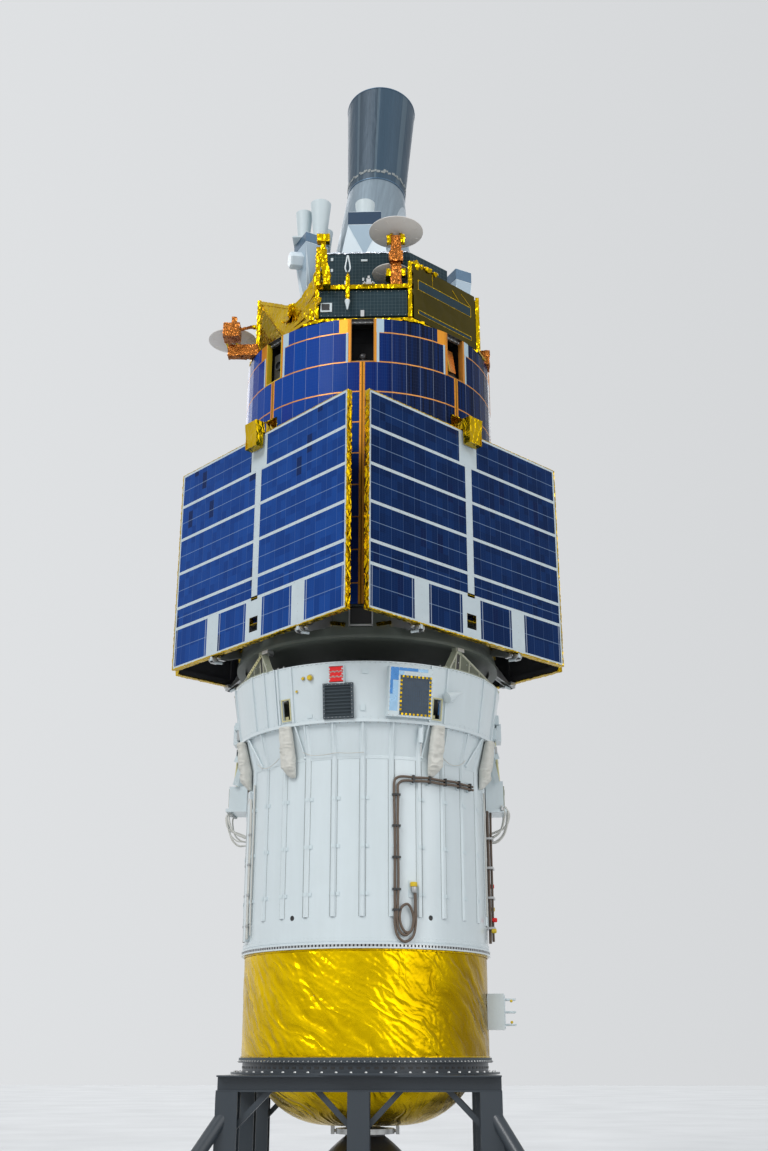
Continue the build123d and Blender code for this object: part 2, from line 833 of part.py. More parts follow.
# Outer panels: azimuth, half width, low, high
panel_thickness = 36
panel_table = [
    (0, 490, 9360, 9690),
    (45, 500, 9345, deck_high),
    (90, 490, 9345, deck_high),
    (135, 500, 9345, deck_high),
    (180, 490, 9360, 9690),
]
for name, rows in (("deck_grid_panels", (0, 4)), ("deck_foil_panels", (1, 2, 3))):
    with BuildPart() as panels:
        for row in rows:
            azimuth, half_width, low, high = panel_table[row]
            with BuildSketch(outward(azimuth, deck_half, low)):
                with Locations((0, (high - low) / 2)):
                    Rectangle(2 * half_width, high - low)
            extrude(amount=panel_thickness)
    panels.part.label = name
    export_step(panels.part, f"parts/{name}.step")

# Foil wrapped posts on the corners of the deck and the beam between them
# x, y, high of each post
corner = 1304
post_table = [
    (-deck_flat_half, -corner, 10150),
    (deck_flat_half, -corner, deck_high),
    (corner, -deck_flat_half, deck_high),
    (corner, deck_flat_half, deck_high),
    (deck_flat_half, corner, deck_high),
    (-deck_flat_half, corner, deck_high),
]
deck_post = 44
with BuildPart() as deck_posts:
    for x, y, high in post_table:
        with BuildSketch(Plane.XY.offset(deck_low)):
            with Locations((x, y)):
                Rectangle(deck_post, deck_post)
        extrude(amount=high - deck_low)
    for side in (-1, 1):
        with Locations((0, side * corner, deck_middle + 26)):
            Box(2 * deck_flat_half, deck_post, 52)
deck_posts.part.label = "deck_posts"
export_step(deck_posts.part, "parts/deck_posts.step")

# Triangular foil frame on the left side of the deck
gusset_bar = 44
gusset_low = 9330
# where a span's two struts meet, as a share of the span
gusset_foot = 0.5
gusset_points = [
    (-deck_flat_half - 60, -corner + 40, 9480),
    (-corner + 24, -deck_flat_half, 10070),
    (-corner + 24, deck_flat_half, 10070),
    (-deck_flat_half - 60, corner - 40, 9480),
]
with BuildPart() as gusset_frame:
    for x, y, high in gusset_points:
        with Locations((x, y, (gusset_low + high) / 2)):
            Box(gusset_bar, gusset_bar, high - gusset_low)
    for start, end in zip(gusset_points[:-1], gusset_points[1:]):
        for drop in (0, 1):
            first = Vector(start[0], start[1], gusset_low + 22 if drop else start[2] - 22)
            last = Vector(end[0], end[1], gusset_low + 22 if drop else end[2] - 22)
            with BuildSketch(Plane(origin=first, z_dir=last - first)):
                Rectangle(gusset_bar - 6, gusset_bar - 6)
            extrude(amount=(last - first).length)
        # two struts meet at the foot of each span and carry a triangular sheet
        foot = Vector(start[0], start[1], gusset_low + 22) * (1 - gusset_foot)
        foot += Vector(end[0], end[1], gusset_low + 22) * gusset_foot
        for corner_point in (start, end):
            top = Vector(corner_point[0], corner_point[1], corner_point[2] - 22)
            with BuildSketch(Plane(origin=foot, z_dir=top - foot)):
                Rectangle(gusset_bar - 14, gusset_bar - 14)
            extrude(amount=(top - foot).length)
        along = (Vector(end[0], end[1], 0) - Vector(start[0], start[1], 0)).normalized()
        span = (Vector(end[0], end[1], 0) - Vector(start[0], start[1], 0)).length
        origin = Vector(start[0], start[1], 0)
        with BuildSketch(Plane(origin=origin, x_dir=along, z_dir=along.cross(Vector(0, 0, 1)))):
            Polygon(
                (0, start[2] - 22), (span * gusset_foot, gusset_low + 22), (span, end[2] - 22), align=None
            )
        extrude(amount=5, both=True)
gusset_frame.part.label = "gusset_frame"
export_step(gusset_frame.part, "parts/gusset_frame.step")

# Telescope: leans back and a little to the right

tilt_back = 10
tilt_right = 1.9
telescope = Plane(
    origin=(0, 60, platform_high - 420),
    z_dir=(math.tan(math.radians(tilt_right)), math.tan(math.radians(tilt_back)), 1),
)
cone_low_radius = 555
cone_middle_radius = 470
cone_high_radius = 372
cone_middle = 1100
cone_high = 2110
barrel_high = 3750
barrel_low_radius = 376
barrel_high_radius = 458
barrel_wall = 12

with BuildPart() as telescope_cone:
    with BuildSketch(Plane.XZ):
        Polygon(
            (0, 0),
            (cone_low_radius, 0),
            (cone_middle_radius, cone_middle),
            (cone_high_radius, cone_high),
            (0, cone_high),
            align=None,
        )
    revolve(axis=Axis.Z)
tilted_cone = telescope.location * telescope_cone.part
tilted_cone -= Pos(0, 0, platform_high - 1000) * Box(3000, 3000, 2000)
tilted_cone.label = "telescope_cone"
export_step(tilted_cone, "parts/telescope_cone.step")

with BuildPart() as telescope_barrel:
    with BuildSketch(Plane.XZ):
        Polygon(
            (0, cone_high),
            (barrel_low_radius, cone_high),
            (barrel_high_radius, barrel_high),
            (barrel_high_radius - barrel_wall, barrel_high),
            (barrel_low_radius - barrel_wall, cone_high + 20),
            (0, cone_high + 20),
            align=None,
        )
    revolve(axis=Axis.Z)
tilted_barrel = telescope.location * telescope_barrel.part
tilted_barrel.label = "telescope_barrel"
export_step(tilted_barrel, "parts/telescope_barrel.step")

# Sensor boxes: a straight foot, a coned body and a banded head
# x, y, azimuth, foot z, body z, foot width, foot depth, head width, head depth, shoulder z, top z
sensor_table = [
    (-20, -665, 0, platform_high, platform_high, 540, 260, 390, 240, 10935, 11120),
    (-695, -330, -60, deck_low, 10100, 150, 150, 340, 300, 10880, 11020),
    (1110, 380, 120, deck_middle, deck_middle, 220, 200, 280, 220, 10800, 10960),
]
with BuildPart() as sensor_boxes:
    for x, y, azimuth, low, body, foot_w, foot_d, head_w, head_d, shoulder, high in sensor_table:
        a = math.radians(azimuth)
        turn = Plane(origin=(x, y, 0), x_dir=(math.cos(a), math.sin(a), 0))
        if body > low:
            with BuildSketch(turn.offset(low)):
                Rectangle(foot_w, foot_d)
            extrude(amount=body - low)
        with BuildSketch(turn.offset(body)):
            Rectangle(foot_w, foot_d)
        with BuildSketch(turn.offset(shoulder)):
            Rectangle(head_w, head_d)
        loft()
        with BuildSketch(turn.offset(shoulder)):
            Rectangle(head_w, head_d)
        extrude(amount=high - shoulder)
    # six-sided baffle on the left box
    with BuildSketch(Plane(origin=(-950, -430, 10700), z_dir=(1, 0.35, 0.1))):
        RegularPolygon(105, 6)
    extrude(amount=260)
sensor_boxes.part.label = "sensor_boxes"
export_step(sensor_boxes.part, "parts/sensor_boxes.step")

# White horn antennas, three on a plate over the left sensor box and one on the middle box
# x, y, low, high, radius below, radius above
sensor_top = 11020
horn_plate = 20
horn_wall = 7
# depth of the hollow mouth, as a fraction of the height where it starts
horn_throat = 0.35
horn_table = [
    (-590, -320, sensor_top + horn_plate, 11570, 75, 128),
    (-805, -200, sensor_top + horn_plate, 11520, 60, 106),
    (-560, 25, sensor_top + horn_plate, 11400, 60, 100),
    (-20, -665, 11120, 11310, 100, 118),
]
with BuildPart() as horn_antennas:
    with Locations((-700, -170, sensor_top + horn_plate / 2)):
        Box(440, 540, horn_plate)
    for x, y, low, high, low_radius, high_radius in horn_table:
        with Locations((x, y, (low + high) / 2)):
            Cone(low_radius, high_radius, high - low)
        throat = low + (high - low) * horn_throat
        throat_width = low_radius + (high_radius - low_radius) * horn_throat - horn_wall
        with Locations((x, y, (throat + high) / 2)):
            Cone(throat_width, high_radius - horn_wall, high - throat, mode=Mode.SUBTRACT)
horn_antennas.part.label = "horn_antennas"
export_step(horn_antennas.part, "parts/horn_antennas.step")

# Front mast and left boom with three dishes, each tilting on a pin in a fork

pivot_rise = 30
fork_pin = 8
hub_half = 12
hub_radius = 20
fork_gap = 4
fork_cheek = 10
fork_radius = 16
fork_drop = 60


def fork(plane, depth):
    """Fork of two cheeks and a pin; the plane's origin is the pivot and its normal the pin."""
    for side in (-1, 1):
        with BuildSketch(plane.offset(side * (hub_half + fork_gap + fork_cheek / 2))) as cheek_shape:
            Circle(fork_radius)
            with Locations((0, -depth / 2)):
                Rectangle(2 * fork_radius, depth)
        extrude(cheek_shape.sketch, amount=fork_cheek / 2, both=True)
    with BuildSketch(plane) as pin_shape:
        Circle(fork_pin)
    extrude(pin_shape.sketch, amount=hub_half + fork_gap + fork_cheek, both=True)


def dish_plane(x, y, z, pin_axis):
    """Upright plane through a dish's pivot, facing along its pin."""
    if pin_axis == "X":
        return Plane(origin=(x, y, z), x_dir=(0, 1, 0), z_dir=(1, 0, 0))
    return Plane(origin=(x, y, z), x_dir=(-1, 0, 0), z_dir=(0, 1, 0))


mast_x = 365
mast_y = -corner
mast_low = deck_middle + 52
mast_high = 10400
mast_width = 120
mast_depth = 44
upper_pivot = mast_high + fork_drop
lower_pivot = 9990
upper_dish_y = -1170
lower_dish_x = 310
lower_dish_y = -1045
dish_arm = 34

# name, x, y, z of the tilt pivot, pin axis, dish radius
dish_table = [
    ("upper_dish", mast_x, upper_dish_y, upper_pivot, "X", 310),
    ("lower_dish", lower_dish_x, lower_dish_y, lower_pivot, "X", 225),
    ("left_dish", -1610, -330, 9570, "Y", 285),
]
dish_depth = 0.16
dish_wall = 8
dish_flat = 30
dish_ribs = 8
dish_rib_width = 6

with BuildPart() as front_mast:
    with Locations((mast_x, mast_y, (mast_low + mast_high) / 2)):
        Box(mast_width, mast_depth, mast_high - mast_low)
    for _, x, y, pivot, _, _ in dish_table[:2]:
        arm_end = y + 30
        with Locations((x, (mast_y + arm_end) / 2, pivot - fork_drop - dish_arm / 2)):
            Box(60, arm_end - mast_y, dish_arm)
    for row in dish_table[:2]:
        fork(dish_plane(*row[1:5]), fork_drop)
front_mast.part.label = "front_mast"
export_step(front_mast.part, "parts/front_mast.step")

for name, x, y, z, pin_axis, radius in dish_table:
    rise = dish_depth * radius
    base = z + pivot_rise
    with BuildPart() as dish:
        with BuildSketch(Plane(origin=(x, y, base), x_dir=(1, 0, 0), z_dir=(0, -1, 0))):
            with BuildLine():
                Polyline((0, dish_wall), (0, 0), (dish_flat, 0))
                ThreePointArc((dish_flat, 0), (radius * 0.55, rise * 0.27), (radius, rise))
                Line((radius, rise), (radius, rise + dish_wall))
                ThreePointArc(
                    (radius, rise + dish_wall),
                    (radius * 0.55, rise * 0.27 + dish_wall),
                    (dish_flat, dish_wall),
                )
                Line((dish_flat, dish_wall), (0, dish_wall))
            make_face()
        revolve(axis=Axis((x, y, z), (0, 0, 1)))
        for step in range(dish_ribs):
            turn = math.radians((step + 0.5) * 360 / dish_ribs)
            rib_plane = Plane(
                origin=(x, y, base),
                x_dir=(math.cos(turn), math.sin(turn), 0),
                z_dir=(math.sin(turn), -math.cos(turn), 0),
            )
            with BuildSketch(rib_plane):
                Polygon(
                    (0, 0),
                    (2 * dish_flat, -4),
                    (radius * 0.85, rise * 0.60),
                    (radius * 0.85, rise * 0.72),
                    (dish_flat, dish_wall / 2),
                    (0, dish_wall / 2),
                    align=None,
                )
            extrude(amount=dish_rib_width / 2, both=True)
        with BuildSketch(dish_plane(x, y, z, pin_axis)):
            Circle(hub_radius)
            with Locations((0, (pivot_rise + 4) / 2)):
                Rectangle(2 * hub_radius, pivot_rise + 4)
            Circle(fork_pin + pin_gap, mode=Mode.SUBTRACT)
        extrude(amount=hub_half, both=True)
    dish.part.label = name
    export_step(dish.part, f"parts/{name}.step")

# Left boom: hinged on the gusset frame, carries the drive box and the dish's fork
boom_pivot = (-1336, -548, 9700)
with BuildPart() as boom_bracket:
    fork(Plane(origin=boom_pivot, x_dir=(0, 0, -1), z_dir=(0, 1, 0)), 34)
boom_bracket.part.label = "boom_bracket"
export_step(boom_bracket.part, "parts/boom_bracket.step")

left_dish = dish_table[2]
drive_centre = (-1555, -730, 9520)
with BuildPart() as left_boom:
    with BuildSketch(dish_plane(*boom_pivot, "Y")):
        Circle(hub_radius)
        with Locations((hub_radius, 0)):
            Rectangle(2 * hub_radius, 32)
        Circle(fork_pin + pin_gap, mode=Mode.SUBTRACT)
    extrude(amount=hub_half, both=True)
    start = Vector(boom_pivot[0] - 30, boom_pivot[1], boom_pivot[2])
    end = Vector(drive_centre[0] + 60, drive_centre[1] + 60, drive_centre[2] + 70)
    with BuildSketch(Plane(origin=start, z_dir=end - start)):
        Rectangle(24, 32)
    extrude(amount=(end - start).length)
    with Locations(drive_centre):
        Box(190, 170, 180)
    with Locations((drive_centre[0] + 20, drive_centre[1], drive_centre[2] + 145)):
        Box(60, 50, 110)
    yoke_z = left_dish[3] - fork_drop - 12
    with Locations((left_dish[1], (drive_centre[1] + left_dish[2]) / 2 + 15, yoke_z)):
        Box(40, left_dish[2] - drive_centre[1] + 30, 24)
    fork(dish_plane(*left_dish[1:5]), fork_drop)
left_boom.part.label = "left_boom"
export_step(left_boom.part, "parts/left_boom.step")

# Copper wrapped boxes on the rim of the drum: x, y, low, sizes
copper_table = [(-1427, -650, drum_high, 360, 100, 140), (1385, -290, drum_high, 110, 200, 190)]
with BuildPart() as copper_boxes:
    for x, y, low, size_x, size_y, size_z in copper_table:
        with Locations((x, y, low + size_z / 2)):
            Box(size_x, size_y, size_z)
copper_boxes.part.label = "copper_boxes"
export_step(copper_boxes.part, "parts/copper_boxes.step")

# Foil wrapped mast at the front left corner, and the slender antenna beside it
foil_mast_x = -455
with BuildPart() as foil_mast:
    for width, low, high in ((176, deck_middle, 10140), (60, 10140, 10275), (150, 10275, 10375)):
        with Locations((foil_mast_x, mast_y - deck_post / 2 - 53, (low + high) / 2)):
            Box(width, width * 0.6, high - low)
foil_mast.part.label = "foil_mast"
export_step(foil_mast.part, "parts/foil_mast.step")

antenna_x = -175
antenna_half = 22
antenna_y = mast_y - deck_post / 2 - antenna_half
with BuildPart() as front_antenna:
    with Locations((antenna_x, antenna_y, 9700)):
        Box(2 * antenna_half, 2 * antenna_half, 280)
    with Locations((antenna_x, antenna_y, 9870)):
        Cone(antenna_half, 4, 60)
    with Locations((antenna_x, antenna_y, 9500)):
        Cone(6, antenna_half, 120)
front_antenna.part.label = "front_antenna"
export_step(front_antenna.part, "parts/front_antenna.step")

# Panels on the coned wall of the equipment section

# name, azimuth, centre z, width, height, thickness
wall_panels = [
    ("louvre_panel", -9, 4930, 305, 350, 36),
    ("red_cover", -9.5, 5190, 150, 170, 30),
    ("radiator_panel", 20, 5020, 460, 500, 60),
]
blade_count = 9
blade_length = 262
blade_chord = 26
blade_thickness = 6
for name, azimuth, z, width, height, thickness in wall_panels:
    with BuildPart() as panel:
        with BuildSketch(wall_plane(azimuth, z).offset(-30)):
            Rectangle(width, height)
        extrude(amount=thickness + 30)
        if name == "radiator_panel":
            with BuildSketch(wall_plane(azimuth, z).offset(thickness)):
                with Locations((50, -33)):
                    Rectangle(285, 353)
            extrude(amount=-12, mode=Mode.SUBTRACT)
        if name == "louvre_panel":
            face = wall_plane(azimuth, z).offset(thickness)
            with BuildSketch(face):
                Rectangle(blade_length, height - 44)
            extrude(amount=-thickness / 2, mode=Mode.SUBTRACT)
            # slanted blades across the pocket; this plane looks along them with y down the wall
            section = Plane(origin=face.origin, x_dir=face.z_dir, z_dir=face.x_dir)
            pitch = (height - 44) / blade_count
            with BuildSketch(section):
                for step in range(blade_count):
                    with Locations((-thickness / 4, (step - (blade_count - 1) / 2) * pitch)):
                        Rectangle(blade_chord, blade_thickness, rotation=40)
            extrude(amount=blade_length / 2 + 2, both=True)
        with BuildSketch(Plane.XZ):
            Polygon(
                (0, equipment_low),
                (equipment_radius_low, equipment_low),
                (equipment_radius_high, equipment_high),
                (0, equipment_high),
                align=None,
            )
        revolve(axis=Axis.Z, mode=Mode.SUBTRACT)
    panel.part.label = name
    export_step(panel.part, f"parts/{name}.step")

# Small cone antenna lying along the wall, on its bracket
antenna_wall = wall_plane(39, 5060)
antenna_axis = antenna_wall.x_dir + antenna_wall.y_dir * 0.45
with BuildPart() as cone_antenna:
    with BuildSketch(antenna_wall.offset(-skin)):
        with Locations((4, -10)):
            RectangleRounded(130, 130, 16)
    extrude(amount=skin + 10)
    with BuildSketch(antenna_wall):
        with Locations((-20, -25)):
            Rectangle(46, 70)
    extrude(amount=62)
    mouth = Plane(origin=antenna_wall.from_local_coords((-78, -52, 62)), z_dir=antenna_axis)
    with BuildSketch(mouth):
        Circle(58)
    with BuildSketch(mouth.offset(215)):
        Circle(8)
    loft()
    with BuildSketch(Plane.XZ):
        Polygon(
            (0, equipment_low),
            (equipment_radius_low, equipment_low),
            (equipment_radius_high, equipment_high),
            (0, equipment_high),
            align=None,
        )
    revolve(axis=Axis.Z, mode=Mode.SUBTRACT)
cone_antenna.part.label = "cone_antenna"
export_step(cone_antenna.part, "parts/cone_antenna.step")

# Fabric covers, struts and cable ducts round the flare

bag_radius = 78
bag_low = 4215
bag_reach = 1340
with BuildPart() as cover_bags:
    for azimuth in (-70, -33.6, 33.8, 71.5):
        a = math.radians(azimuth)
        with Locations((bag_reach * math.sin(a), -bag_reach * math.cos(a), (bag_low + flare_high) / 2)):
            Cylinder(bag_radius, flare_high - bag_low)
    with BuildSketch(Plane.XZ):
        Polygon(
            (0, bag_low - 10),
            (skin_radius + 1, bag_low - 10),
            (skin_radius + 1, flare_low),
            (flare_top_radius + 1, flare_high),
            (0, flare_high),
            align=None,
        )
    revolve(axis=Axis.Z, mode=Mode.SUBTRACT)
cover_bags.part.label = "cover_bags"
export_step(cover_bags.part, "parts/cover_bags.step")

# azimuth at the flare ring, azimuth on the skin
strut_table = [(-62, -55), (-29.2, -26.2), (29.6, 28.2), (64, 56)]
strut_radius = 10
with BuildPart() as flare_struts:
    for top_azimuth, low_azimuth in strut_table:
        top_point = outward(top_azimuth, flare_ring_radius - 14, flare_high).origin
        low_point = outward(low_azimuth, skin_radius + 8, flare_low).origin
        with BuildSketch(Plane(origin=low_point, z_dir=top_point - low_point)):
            Circle(strut_radius)
        extrude(amount=(top_point - low_point).length + 20)
        with Locations(low_point):
            Sphere(strut_radius + 7)
    with BuildSketch(Plane.XZ):
        Polygon(
            (0, flare_low - 100),
            (skin_radius, flare_low - 100),
            (skin_radius, flare_low),
            (flare_top_radius, flare_high),
            (flare_ring_radius + 100, flare_high),
            (flare_ring_radius + 100, flare_high + 100),
            (0, flare_high + 100),
            align=None,
        )
    revolve(axis=Axis.Z, mode=Mode.SUBTRACT)
flare_struts.part.label = "flare_struts"
export_step(flare_struts.part, "parts/flare_struts.step")

with BuildPart() as raceway:
    with BuildSketch(outward(-67, skin_radius - 20, 2700)):
        with Locations((0, 750)):
            RectangleRounded(80, 1500, 20)
    extrude(amount=60)
    with Locations((0, 0, 3400)):
        Cylinder(skin_radius, 2000, mode=Mode.SUBTRACT)
raceway.part.label = "raceway"
export_step(raceway.part, "parts/raceway.step")

# Clamped harness: along under the flare, down the front, round a loop and up to its connector
harness_reach = skin_radius + 38
harness_radius = 16
harness_high = 4190
harness_corner = 70
harness_turn = 18
harness_start = 59
loop_radius = 101
loop_centre = 2736
connector_low = 3090
corner_plane = outward(harness_turn, harness_reach, harness_high)
sideways = corner_plane.x_dir
down = Vector(0, 0, -1)
with BuildPart() as front_harness:
    with BuildLine() as route:
        first = outward(harness_start, harness_reach, harness_high).origin
        halfway = outward((harness_start + harness_turn) / 2, harness_reach, harness_high).origin
        corner_point = corner_plane.origin
        ThreePointArc(first, halfway, corner_point)
        top = corner_point - sideways * harness_corner + down * harness_corner
        TangentArc(corner_point, top, tangent=sideways * -1)
        low = top + down * (top.Z - loop_centre)
        Line(top, low)
        across = low + sideways * (2 * loop_radius)
        TangentArc(low, across, tangent=down)
        Line(across, across - down * (connector_low - loop_centre))
    with BuildSketch(Plane(origin=first, z_dir=route.line % 0)):
        Circle(harness_radius)
    sweep(path=route.line)
    with BuildSketch(Plane(origin=across - down * (connector_low - loop_centre), z_dir=(0, 0, 1))):
        Circle(harness_radius + 8)
    extrude(amount=70)
front_harness.part.label = "front_harness"
export_step(front_harness.part, "parts/front_harness.step")

with BuildPart() as side_harness:
    with Locations(outward(82.5, skin_radius + 24, 3180).origin):
        Cylinder(24, 960)
side_harness.part.label = "side_harness"
export_step(side_harness.part, "parts/side_harness.step")

with BuildPart() as service_box:
    with BuildSketch(outward(86, band_radius - 60, 1880)):
        with Locations((0, 170)):
            Rectangle(240, 340)
    extrude(amount=222)
    with BuildSketch(outward(86, band_radius - 60, 1880).offset(222)):
        with Locations((0, 170)):
            RectangleRounded(216, 316, 12)
    extrude(amount=8)
    for z in (1950, 2050, 2150):
        with Locations(outward(86, band_radius + 85, z).origin):
            Cylinder(13, 46)
    with Locations((0, 0, 2100)):
        Cylinder(band_radius, 1200, mode=Mode.SUBTRACT)
service_box.part.label = "service_box"
export_step(service_box.part, "parts/service_box.step")
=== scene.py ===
import math
import bmesh
import bpy
import numpy as np
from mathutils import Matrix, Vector


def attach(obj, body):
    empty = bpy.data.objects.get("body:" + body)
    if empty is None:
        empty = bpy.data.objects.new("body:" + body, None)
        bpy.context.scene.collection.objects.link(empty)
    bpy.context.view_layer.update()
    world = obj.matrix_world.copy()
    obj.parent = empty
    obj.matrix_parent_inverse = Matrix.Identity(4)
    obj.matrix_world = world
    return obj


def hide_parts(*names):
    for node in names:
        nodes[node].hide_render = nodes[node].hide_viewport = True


# Looks of a satellite on its transfer booster and display stand.
# Metres, in the part's own frame: Z = 0 is the floor, the stack's axis is X = Y = 0, -Y is the front.
# An azimuth is in degrees, 0 at the front and growing towards +X.

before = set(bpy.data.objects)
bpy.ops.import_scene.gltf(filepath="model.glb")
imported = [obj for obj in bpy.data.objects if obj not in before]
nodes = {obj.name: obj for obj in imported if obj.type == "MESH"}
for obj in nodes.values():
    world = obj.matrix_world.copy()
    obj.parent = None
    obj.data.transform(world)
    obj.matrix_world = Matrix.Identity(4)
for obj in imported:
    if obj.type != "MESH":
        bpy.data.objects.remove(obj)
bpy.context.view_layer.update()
print("frame loaded,", len(nodes), "nodes")

# driving sizes, as in the part's source
stack = {
    "bandLow": 1.62,
    "bandHigh": 2.58,
    "bandRadius": 1.236,
    "skinRadius": 1.254,
    "flareLow": 4.41,
    "flareHigh": 4.72,
    "flareTopRadius": 1.33,
    "wallLow": 4.75,
    "wallHigh": 5.32,
    "wallLowRadius": 1.36,
    "wallHighRadius": 1.443,
    "drumRadius": 1.445,
    "windowLow": 8.70,
    "facets": 56,
}
paddle = {
    "low": 5.64,
    "high": 7.98,
    "half": 1.44,
    "inner": 1.546,
    "outer": 1.596,
    "strips": (1.935, 1.525, 1.115, 0.70, 0.46),
    "leg": 0.72,
    "azimuths": {
        "paddle_front_left": -45,
        "paddle_front_right": 45,
        "paddle_rear_right": 135,
        "paddle_rear_left": 225,
    },
}
deck = {"corner": 1.304, "flat": 0.521, "panelReach": 1.2965, "frontReach": 0.8005}
skin = stack["skinRadius"]
upright = np.array([0, 0, 1.0])


# Shader maths on sockets

class Wire:
    # one output socket; sums on it add Math nodes
    def __init__(self, finish, socket):
        self.finish = finish
        self.socket = socket

    def __add__(self, other):
        return self.finish.maths("ADD", self, other)

    def __radd__(self, other):
        return self.finish.maths("ADD", other, self)

    def __sub__(self, other):
        return self.finish.maths("SUBTRACT", self, other)

    def __rsub__(self, other):
        return self.finish.maths("SUBTRACT", other, self)

    def __mul__(self, other):
        return self.finish.maths("MULTIPLY", self, other)

    def __rmul__(self, other):
        return self.finish.maths("MULTIPLY", other, self)

    def __truediv__(self, other):
        return self.finish.maths("DIVIDE", self, other)

    def __gt__(self, other):
        return self.finish.maths("GREATER_THAN", self, other)

    def __lt__(self, other):
        return self.finish.maths("LESS_THAN", self, other)

    def __or__(self, other):
        return self.finish.maths("MAXIMUM", self, other)

    def __and__(self, other):
        return self.finish.maths("MINIMUM", self, other)

    def __abs__(self):
        return self.finish.maths("ABSOLUTE", self)


class Finish:
    # one material and its nodes
    def __init__(self, name):
        self.material = bpy.data.materials.new(name)
        self.material.use_nodes = True
        self.tree = self.material.node_tree
        self.shader = self.tree.nodes["Principled BSDF"]

    def feed(self, socket, value):
        if isinstance(value, Wire):
            self.tree.links.new(value.socket, socket)
        elif isinstance(value, tuple) and len(value) == 3 and socket.type == "RGBA":
            socket.default_value = (*value, 1.0)
        else:
            socket.default_value = value

    def node(self, kind, settings, inputs, out=0):
        made = self.tree.nodes.new(kind)
        for key, value in settings.items():
            if key == "stops":
                self.setStops(made.color_ramp, value)
            else:
                setattr(made, key, value)
        for key, value in inputs.items():
            self.feed(made.inputs[key], value)
        return Wire(self, made.outputs[out])

    def setStops(self, ramp, stops):
        while len(ramp.elements) < len(stops):
            ramp.elements.new(0.5)
        for element, (place, colour) in zip(ramp.elements, stops):
            element.position = place
            element.color = (*colour, 1.0)

    def maths(self, operation, *values):
        return self.node("ShaderNodeMath", {"operation": operation}, dict(enumerate(values)))

    def place(self):
        return self.node("ShaderNodeTexCoord", {}, {}, "Object")

    def split(self, vector):
        first = self.node("ShaderNodeSeparateXYZ", {}, {0: vector})
        return [Wire(self, out) for out in first.socket.node.outputs]

    def join(self, x, y, z):
        return self.node("ShaderNodeCombineXYZ", {}, {0: x, 1: y, 2: z})

    def turn(self, vector, scale=(1.0, 1.0, 1.0), angle=(0.0, 0.0, 0.0)):
        return self.node("ShaderNodeMapping", {}, {"Vector": vector, "Scale": scale, "Rotation": angle})

    def noise(self, vector, scale, detail=3.0, rough=0.55):
        values = {"Vector": vector, "Scale": scale, "Detail": detail, "Roughness": rough}
        return self.node("ShaderNodeTexNoise", {}, values, "Fac")

    def cells(self, vector, scale, feature="DISTANCE_TO_EDGE"):
        values = {"Vector": vector, "Scale": scale}
        return self.node("ShaderNodeTexVoronoi", {"feature": feature}, values, "Distance")

    def chance(self, x, y, z):
        spot = self.join(x, y, z)
        return self.node("ShaderNodeTexWhiteNoise", {"noise_dimensions": "3D"}, {"Vector": spot}, "Value")

    def blend(self, factor, first, second):
        return self.node("ShaderNodeMix", {"data_type": "RGBA"}, {0: factor, 6: first, 7: second}, 2)

    def bump(self, height, strength, distance):
        return self.node("ShaderNodeBump", {}, {"Height": height, "Strength": strength, "Distance": distance})

    def near(self, value, centre, half):
        # 1 where the value is within half of the centre
        return abs(value - centre) < half

    def lines(self, value, pitch, half):
        # 1 on evenly spaced lines
        return abs(self.maths("PINGPONG", value, pitch / 2)) < half

    def done(self, **values):
        for key, value in values.items():
            self.feed(self.shader.inputs[key.replace("_", " ")], value)
        return self.material


# Materials, one function for each finish

def makeFoil(name, colour, shadow, grain=9.0, depth=0.5, rough=0.2):
    # metallised film: soft folds, sharp creases, and painted shade as a darker tone in the folds
    f = Finish(name)
    at = f.place()
    folds = f.noise(at, grain, 2.0, 0.5)
    creases = f.cells(f.turn(at, (1.0, 1.3, 0.8)), grain * 2.2) & 0.2
    fine = f.noise(at, grain * 8, 3.0, 0.6)
    tone = f.blend(f.noise(at, grain * 0.7, 4.0), shadow, colour)
    height = folds * 1.2 + creases * 1.5 + fine * 0.14
    return f.done(
        Base_Color=tone,
        Metallic=1.0,
        Roughness=f.noise(at, grain * 3, 2.0) * 0.2 + (rough - 0.08),
        Normal=f.bump(height, depth, 0.03),
    )


def makeBandFoil(name, bright, dark):
    # foil wrapped round the skirt: long folds that run down to the right, painted highlights on the ridges,
    # painted shade in the hollows and towards the right side
    f = Finish(name)
    at = f.place()
    x, y, z = f.split(at)
    azimuth = f.maths("ARCTAN2", x, y * -1.0)
    folds = []
    bend = f.noise(at, 1.9, 2.0) * 0.55
    for slope, wide, long, octaves in ((0.8, 3.2, 0.9, 2.0), (1.2, 6.0, 1.6, 1.0), (0.5, 12.0, 4.0, 1.0)):
        lean = azimuth + z * slope + bend
        spot = f.join(f.maths("SINE", lean) * wide, f.maths("COSINE", lean) * wide, z * long)
        folds.append(abs(f.noise(spot, 1.0, octaves, 0.45) - 0.5))
    broad = f.noise(f.turn(at, (1.0, 1.0, 0.6)), 1.3, 2.0)
    # painted light: the ridges are lit and the hollows shaded in the base colour
    paintedRidgeLight = 1.0 - folds[0] * 4.2 - folds[1] * 1.2
    # painted shade that deepens towards the right (+X)
    shade = f.maths("MAXIMUM", x * 0.55 - 0.10, 0.0)
    tone = f.maths("MAXIMUM", f.maths("MINIMUM", paintedRidgeLight * 0.55 + broad * 0.9 - 0.12, 1.0) - shade, 0.0)
    height = folds[0] * -1.0 - folds[1] * 0.5 - folds[2] * 0.2
    return f.done(
        Base_Color=f.blend(tone, dark, bright),
        Metallic=1.0,
        Roughness=f.noise(at, 9.0, 2.0) * 0.16 + 0.19,
        Normal=f.bump(height, 0.45, 0.10),
    )


